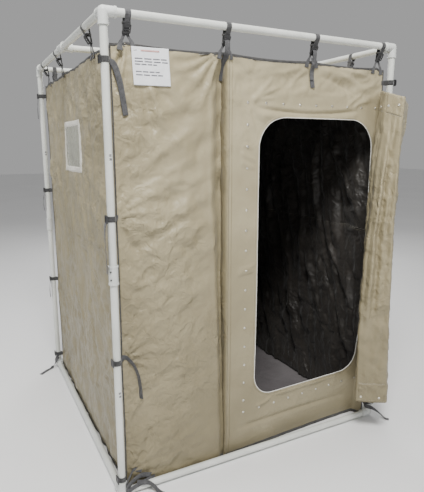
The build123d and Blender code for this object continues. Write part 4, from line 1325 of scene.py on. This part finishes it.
def hull_path(r, tip, tr, n=40):
    """Closed path round a circle r at the origin and a small circle at tip."""
    t = np.array(tip, float)
    d = np.linalg.norm(t)
    base = math.atan2(t[1], t[0])
    a = math.acos((r - tr) / d)
    th1 = np.linspace(base + a, base + 2 * math.pi - a, n)
    th2 = np.linspace(base - a, base + a, max(6, n // 4))
    c1 = np.stack([r * np.cos(th1), r * np.sin(th1)], -1)
    c2 = np.stack([t[0] + tr * np.cos(th2), t[1] + tr * np.sin(th2)], -1)
    s1 = np.linspace(c1[-1], c2[0], 14)[1:-1]
    s2 = np.linspace(c2[-1], c1[0], 14)[1:-1]
    return np.vstack([c1, s1, c2, s2])


loops, anchors, keepers, patches = [], [], [], []
for kind, i, o, inn, al in rail_frames:
    hp = hull_path(PIPE + 1.1, (TIPY, TIPZ), 3.0)
    hp = np.vstack([hp, hp[:1]])
    pts = o + hp[:, 0:1] * inn + hp[:, 1:2] * UP
    black = not (kind == "front" and i == 0)
    loops.append(sweep(f"rail_strap_{kind}_{i}", M(pts), al, 0.0250, 0.0015, WEB_BLACK if black else WEB, ride=None))
    # V shaped anchor: two legs of webbing from the ring to the tent's top edge
    tip = o + TIPY * inn + TIPZ * UP
    top_here = {"front": front_top, "back": back_top, "left": side_top, "right": side_top}[kind]
    pos = o[0] if kind in ("front", "back") else o[1]
    fnp = {"front": front_pt, "back": back_pt, "left": left_pt, "right": right_pt}[kind]
    sgn = al[0] if kind in ("front", "back") else al[1]
    for s in (-1, 1):
        fx_ = pos + s * sgn * 27.0
        foot = fnp(np.array(fx_), np.array(float(top_here(np.array([fx_]))[0]) - 3.0), 2.4)
        foot2 = fnp(np.array(fx_ + s * sgn * 3.0), np.array(float(top_here(np.array([fx_]))[0]) - 26.0), 2.6)
        st0 = tip + al * s * 4.0 + UP * -2.0
        st1_ = tip + al * s * 9.0 + UP * -10.0
        path = spline([st0, st1_, (st1_ + foot) / 2 + al * s * 0.5, foot, foot2], 34)
        wdir = al * 1.0 + UP * s * 0.35
        anchors.append(sweep(f"anchor_{kind}_{i}_{s}", M(path), wdir, 0.0150, 0.0020, WEB, ride=None,
                             taper=np.interp(np.linspace(0, 1, 34), [0, 0.35, 0.8, 1], [0.85, 0.85, 1.5, 1.8])))
    # plastic ring that joins strap and anchor
    ring = np.array([(-14, 0), (-14, 5), (-11, 8), (11, 8), (14, 5), (14, -3), (11, -6), (-11, -6), (-14, -3)], float)
    rp = np.vstack([ring, ring[:1]])
    rp = np.array([tip + al * a + UP * (b - 2.0) for a, b in rp])
    keepers.append(tube_on(f"ring_{kind}_{i}", M(resample(rp, 60)), 0.0021, ACETAL, body=None))
    # keeper band part way up the strap
    m = o + 0.47 * (TIPY * inn + TIPZ * UP) + inn * 1.0
    kp = np.array([(-15, -11), (-15, 11), (15, 11), (15, -11)], float)
    kp = np.vstack([kp, kp[:1]])
    kq = [m + al * a + inn * b for a, b in kp]
    keepers.append(sweep(f"keeper_{kind}_{i}", M(resample(np.array(kq), 50)), UP, 0.0085, 0.0016, WEB_BLACK, ride=None))

CORN = {"front_left": (0, 0, 1, 1), "front_right": (W, 0, -1, 1), "back_left": (0, D, 1, -1), "back_right": (W, D, -1, -1)}
for nm, (x, y, ix, iy) in CORN.items():
    for j, z in enumerate(LEVELS):
        hp = hull_path(PIPE + 1.1, (ix * 24.0, iy * 19.0), 3.0)
        hp = np.vstack([hp, hp[:1]])
        pts = np.stack([x + hp[:, 0], y + hp[:, 1], np.full(len(hp), z)], -1)
        loops.append(sweep(f"post_strap_{nm}_{j}", M(pts), UP, 0.0250, 0.0015, WEB_BLACK, ride=None))
        # short tab sewn to the tent corner
        key = {"front_left": "fl", "front_right": "fr", "back_left": "bl", "back_right": "br"}[nm]
        cx, cy = corner_at(key, np.array([z]))
        a = np.array([x + ix * 24.0, y + iy * 19.0, z])
        b = np.array([cx[0], cy[0], z])
        q = spline([a, (a + b) / 2, b, b + np.array([ix * 9.0, iy * 1.0, 0])], 12)
        loops.append(sweep(f"post_tab_{nm}_{j}", M(q), UP, 0.0240, 0.0018, WEB, ride=None))
strap_ob = join("rail_and_post_straps", loops)
anch_ob = join("strap_anchor_webbing", anchors)
keep_ob = join("strap_rings_and_keepers", keepers)
for ob in (strap_ob, anch_ob, keep_ob):
    for pl in ob.data.polygons:
        pl.use_smooth = True
    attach(ob, "root")
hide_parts("hanging_straps")
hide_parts("strap_anchors")


def tail(name, pts, wdirs, width=0.0250, mat=WEB, n=60, thick=0.0016):
    P = spline(pts, n)
    P[:, 2] = np.maximum(P[:, 2], -21.2)
    wd = np.asarray(wdirs, float)
    if wd.ndim == 2:
        t = np.linspace(0, 1, len(wd))
        wd = np.stack([np.interp(np.linspace(0, 1, n), t, wd[:, k]) for k in range(3)], -1)
    return sweep(name, M(P), wd, width, thick, mat, ride=None)


def fp(x, z, lift):
    return front_pt(np.array(float(x)), np.array(float(z)), lift)


tails = [
    tail("t1", [(22, 19, 1950), fp(42, 1936, 7), fp(56, 1890, 13), fp(66, 1840, 9), fp(76, 1785, 7), fp(86, 1738, 6)],
         [(0, 0, 1), (0.8, -0.2, 0.6), (0.95, -0.3, 0.3), (0.95, -0.25, 0.25), (1, 0, 0.2), (1, 0.1, 0.2)]),
    tail("t2", [(557, 12, 2092), (560, 4, 2060), (562, 10, 2020), fp(563, 1985, 9), fp(565, 1945, 7), fp(566, 1908, 8)],
         [(1, 0, 0), (1, -0.2, 0), (0.85, -0.5, 0), (0.7, -0.7, 0), (0.8, -0.6, 0), (0.9, -0.4, 0)]),
    tail("t3", [(1049, 12, 2092), (1052, 4, 2060), (1053, 11, 2015), fp(1055, 1980, 6), fp(1057, 1940, 5), fp(1059, 1900, 6)],
         [(1, 0, 0), (1, 0.1, 0), (1, 0.15, 0), (1, 0, 0), (1, -0.1, 0), (1, -0.1, 0)]),
    tail("t3b", [(1044, 13, 2040), (1046, 8, 2010), fp(1049, 1985, 9), fp(1051, 1960, 8), fp(1052, 1935, 9)],
         [(1, 0, 0), (1, 0.1, 0), (1, 0.15, 0), (1, 0, 0), (1, -0.1, 0)], width=0.020),
    tail("t4", [(22, 19, 660), fp(44, 668, 8), fp(72, 640, 15), fp(96, 580, 15), fp(108, 510, 10), fp(110, 450, 8)],
         [(0, 0, 1), (0.1, -0.6, 0.8), (0.3, -0.9, 0.3), (0.3, -0.95, 0.1), (0.35, -0.9, 0.1), (0.5, -0.85, 0)]),
    tail("t5", [(-22, 2, 1300), (-28, 4, 1270), (-30, 2, 1210), (-29, -3, 1150), (-28, -5, 1075)],
         [(0, 1, 0.2), (0.1, 1, 0.1), (0.3, 0.95, 0), (0.2, 1, 0), (0.1, 1, 0)], width=0.026),
    tail("t6", [(-20, D - 6, 1945), (-27, D - 8, 1915), (-29, D - 2, 1860), (-28, D + 2, 1800)], [(0, 1, 0), (0.2, 1, 0), (0, 1, 0), (0, 1, 0)]),
    tail("t7", [(-20, D - 6, 1305), (-28, D - 8, 1270), (-32, D + 2, 1215), (-28, D + 2, 1165)], [(0, 1, 0), (0.3, 1, 0), (0.1, 1, 0), (0, 1, 0)]),
    tail("t8", [(-20, D - 6, 655), (-27, D - 6, 620), (-30, D - 2, 570), (-28, D, 520)], [(0, 1, 0), (0.2, 1, 0), (0, 1, 0), (0, 1, 0)]),
    tail("t9", [(70, -12, 34), (100, -20, 30), (128, -24, 20), (148, -36, 2), (160, -50, -14), (170, -62, -20.6), (180, -76, -20.8)],
         [(0, 0.2, 1), (0.1, 0.5, 0.9), (0.3, 0.8, 0.5), (0.6, 0.7, 0.1), (0.8, 0.6, 0), (0.85, 0.5, 0), (0.85, 0.5, 0)], width=0.022),
    tail("t10", [(W - 24, 16, 66), (W - 30, -14, 52), (W - 4, -36, 44), (W + 24, -48, 24), (W + 46, -66, 2), (W + 62, -86, -18), (W + 76, -104, -20.8)],
         [(0, 0, 1), (0.2, 0.2, 0.9), (0.2, 0.6, 0.7), (0.5, 0.7, 0.3), (0.6, 0.75, 0), (0.65, 0.7, 0), (0.65, 0.7, 0)], width=0.022),
    tail("t11", [(10, D - 10, 64), (-18, D - 30, 40), (-34, D - 34, 4), (-60, D - 46, -18), (-95, D - 68, -20.7), (-150, D - 118, -20.8)],
         [(0, 0, 1), (-0.4, 0.6, 0.6), (0.6, 0.7, 0.3), (0.6, -0.7, 0), (0.6, -0.7, 0), (0.6, -0.7, 0)]),
    # webbing fan from the tent's near corner to the foot of the post
    tail("f1", [(14, -23, 26), (50, -8, 44), fp(100, 50, 4), fp(150, 34, 4)], [(0, 0, 1), (0.1, 0, 1), (0.15, 0, 1), (0.1, 0, 1)], width=0.026),
    tail("f2", [(14, -24, 6), (50, -22, 20), (100, -8, 22), fp(170, 12, 4)], [(0, 0.1, 1), (0.1, 0.2, 1), (0.1, 0.3, 1), (0.1, 0, 1)], width=0.022),
    tail("f3", [(14, -21, 44), (38, -2, 68), fp(66, 84, 4), fp(104, 74, 4)], [(0, 0, 1), (0.2, 0, 1), (0.2, 0, 1), (0.1, 0, 1)], width=0.022),
]
tails_ob = join("loose_strap_tails", tails)
for pl in tails_ob.data.polygons:
    pl.use_smooth = True
for v in tails_ob.data.vertices:
    # tails that reach the ground lie on it
    v.co.z = max(v.co.z, 0.0003)
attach(tails_ob, "root")
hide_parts("strap_tails")

# small dark ink dashes printed on the pipes, with no characters
marks = []
for x, y, z, n in ((0, 0, 1580, 2), (0, 0, 520, 2), (0, 0, 1105, 1), (W, 0, 1500, 2), (0, D, 1580, 2)):
    for k in range(n):
        a = np.linspace(-100, -62, 7) + 4 * k
        zz = np.linspace(z - 16 * k, z - 16 * k - 10, 3)
        A, Zm = np.meshgrid(np.radians(a), zz, indexing="ij")
        P = np.stack([x + 16.78 * np.cos(A), y + 16.78 * np.sin(A), Zm], -1)
        marks.append(shell(f"m{len(marks)}", M(P.reshape(-1, 3)), grid_faces(7, 3), 0.00006, (MARK,)))
mark_ob = join("pipe_ink_dashes", marks)
for pl in mark_ob.data.polygons:
    pl.use_smooth = True
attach(mark_ob, "root")

# ------------------------------------------------------------ stage and light
bpy.ops.mesh.primitive_plane_add(size=60, location=(0, 0, -0.0005))
floor = bpy.context.object
floor.name = "studio_floor"
fm = make_mat("studio_floor", (0.80, 0.80, 0.80), (0.83, 0.83, 0.83), cscale=0.6, r0=0.6, r1=0.7, bumps=(("noise", 30.0, 0.0002),))
floor.data.materials.append(fm)

world = bpy.data.worlds.new("studio")
bpy.context.scene.world = world
world.use_nodes = True
bg = world.node_tree.nodes["Background"]
bg.inputs["Color"].default_value = (1.0, 1.0, 1.0, 1)
bg.inputs["Strength"].default_value = 0.38


def area(name, loc, target, size, power, color=(1, 1, 1)):
    l = bpy.data.lights.new(name, "AREA")
    l.shape = "RECTANGLE"
    l.size, l.size_y = size
    l.energy = power
    l.color = color
    o = bpy.data.objects.new(name, l)
    bpy.context.scene.collection.objects.link(o)
    o.location = loc
    o.rotation_mode = "QUATERNION"
    o.rotation_quaternion = (Vector(target) - Vector(loc)).to_track_quat("-Z", "Y")
    return o


area("key", (-1.3, -3.1, 4.9), (0.0, -0.7, 1.1), (1.5, 1.0), 330.0, (1.0, 0.99, 0.965))
area("top", (-0.2, 0.2, 5.2), (0.0, 0.0, 1.5), (3.0, 3.0), 90.0)
area("side", (-4.4, 0.6, 3.9), (-0.7, 0.2, 1.0), (1.6, 1.2), 80.0, (0.98, 0.99, 1.0))
area("back", (2.6, 4.6, 3.6), (0.2, 0.6, 1.0), (2.2, 2.2), 120.0)
area("door", (0.4, -5.4, 1.7), (0.4, 0.4, 0.6), (1.6, 1.6), 45.0)

cam_data = bpy.data.cameras.new("camera")
cam = bpy.data.objects.new("camera", cam_data)
bpy.context.scene.collection.objects.link(cam)
cam_data.sensor_width = 36.0
cam_data.lens = 35.62
cam.location = (-1.3445, -2.8185, 1.6293)
q = Vector((0.45124, 0.87009, -0.19830)).to_track_quat("-Z", "Y")
cam.rotation_mode = "QUATERNION"
cam.rotation_quaternion = q @ Vector((0, 0, 1)).rotation_difference(Vector((0, 0, 1)))
cam_data.clip_start, cam_data.clip_end = 0.05, 100
bpy.context.scene.camera = cam
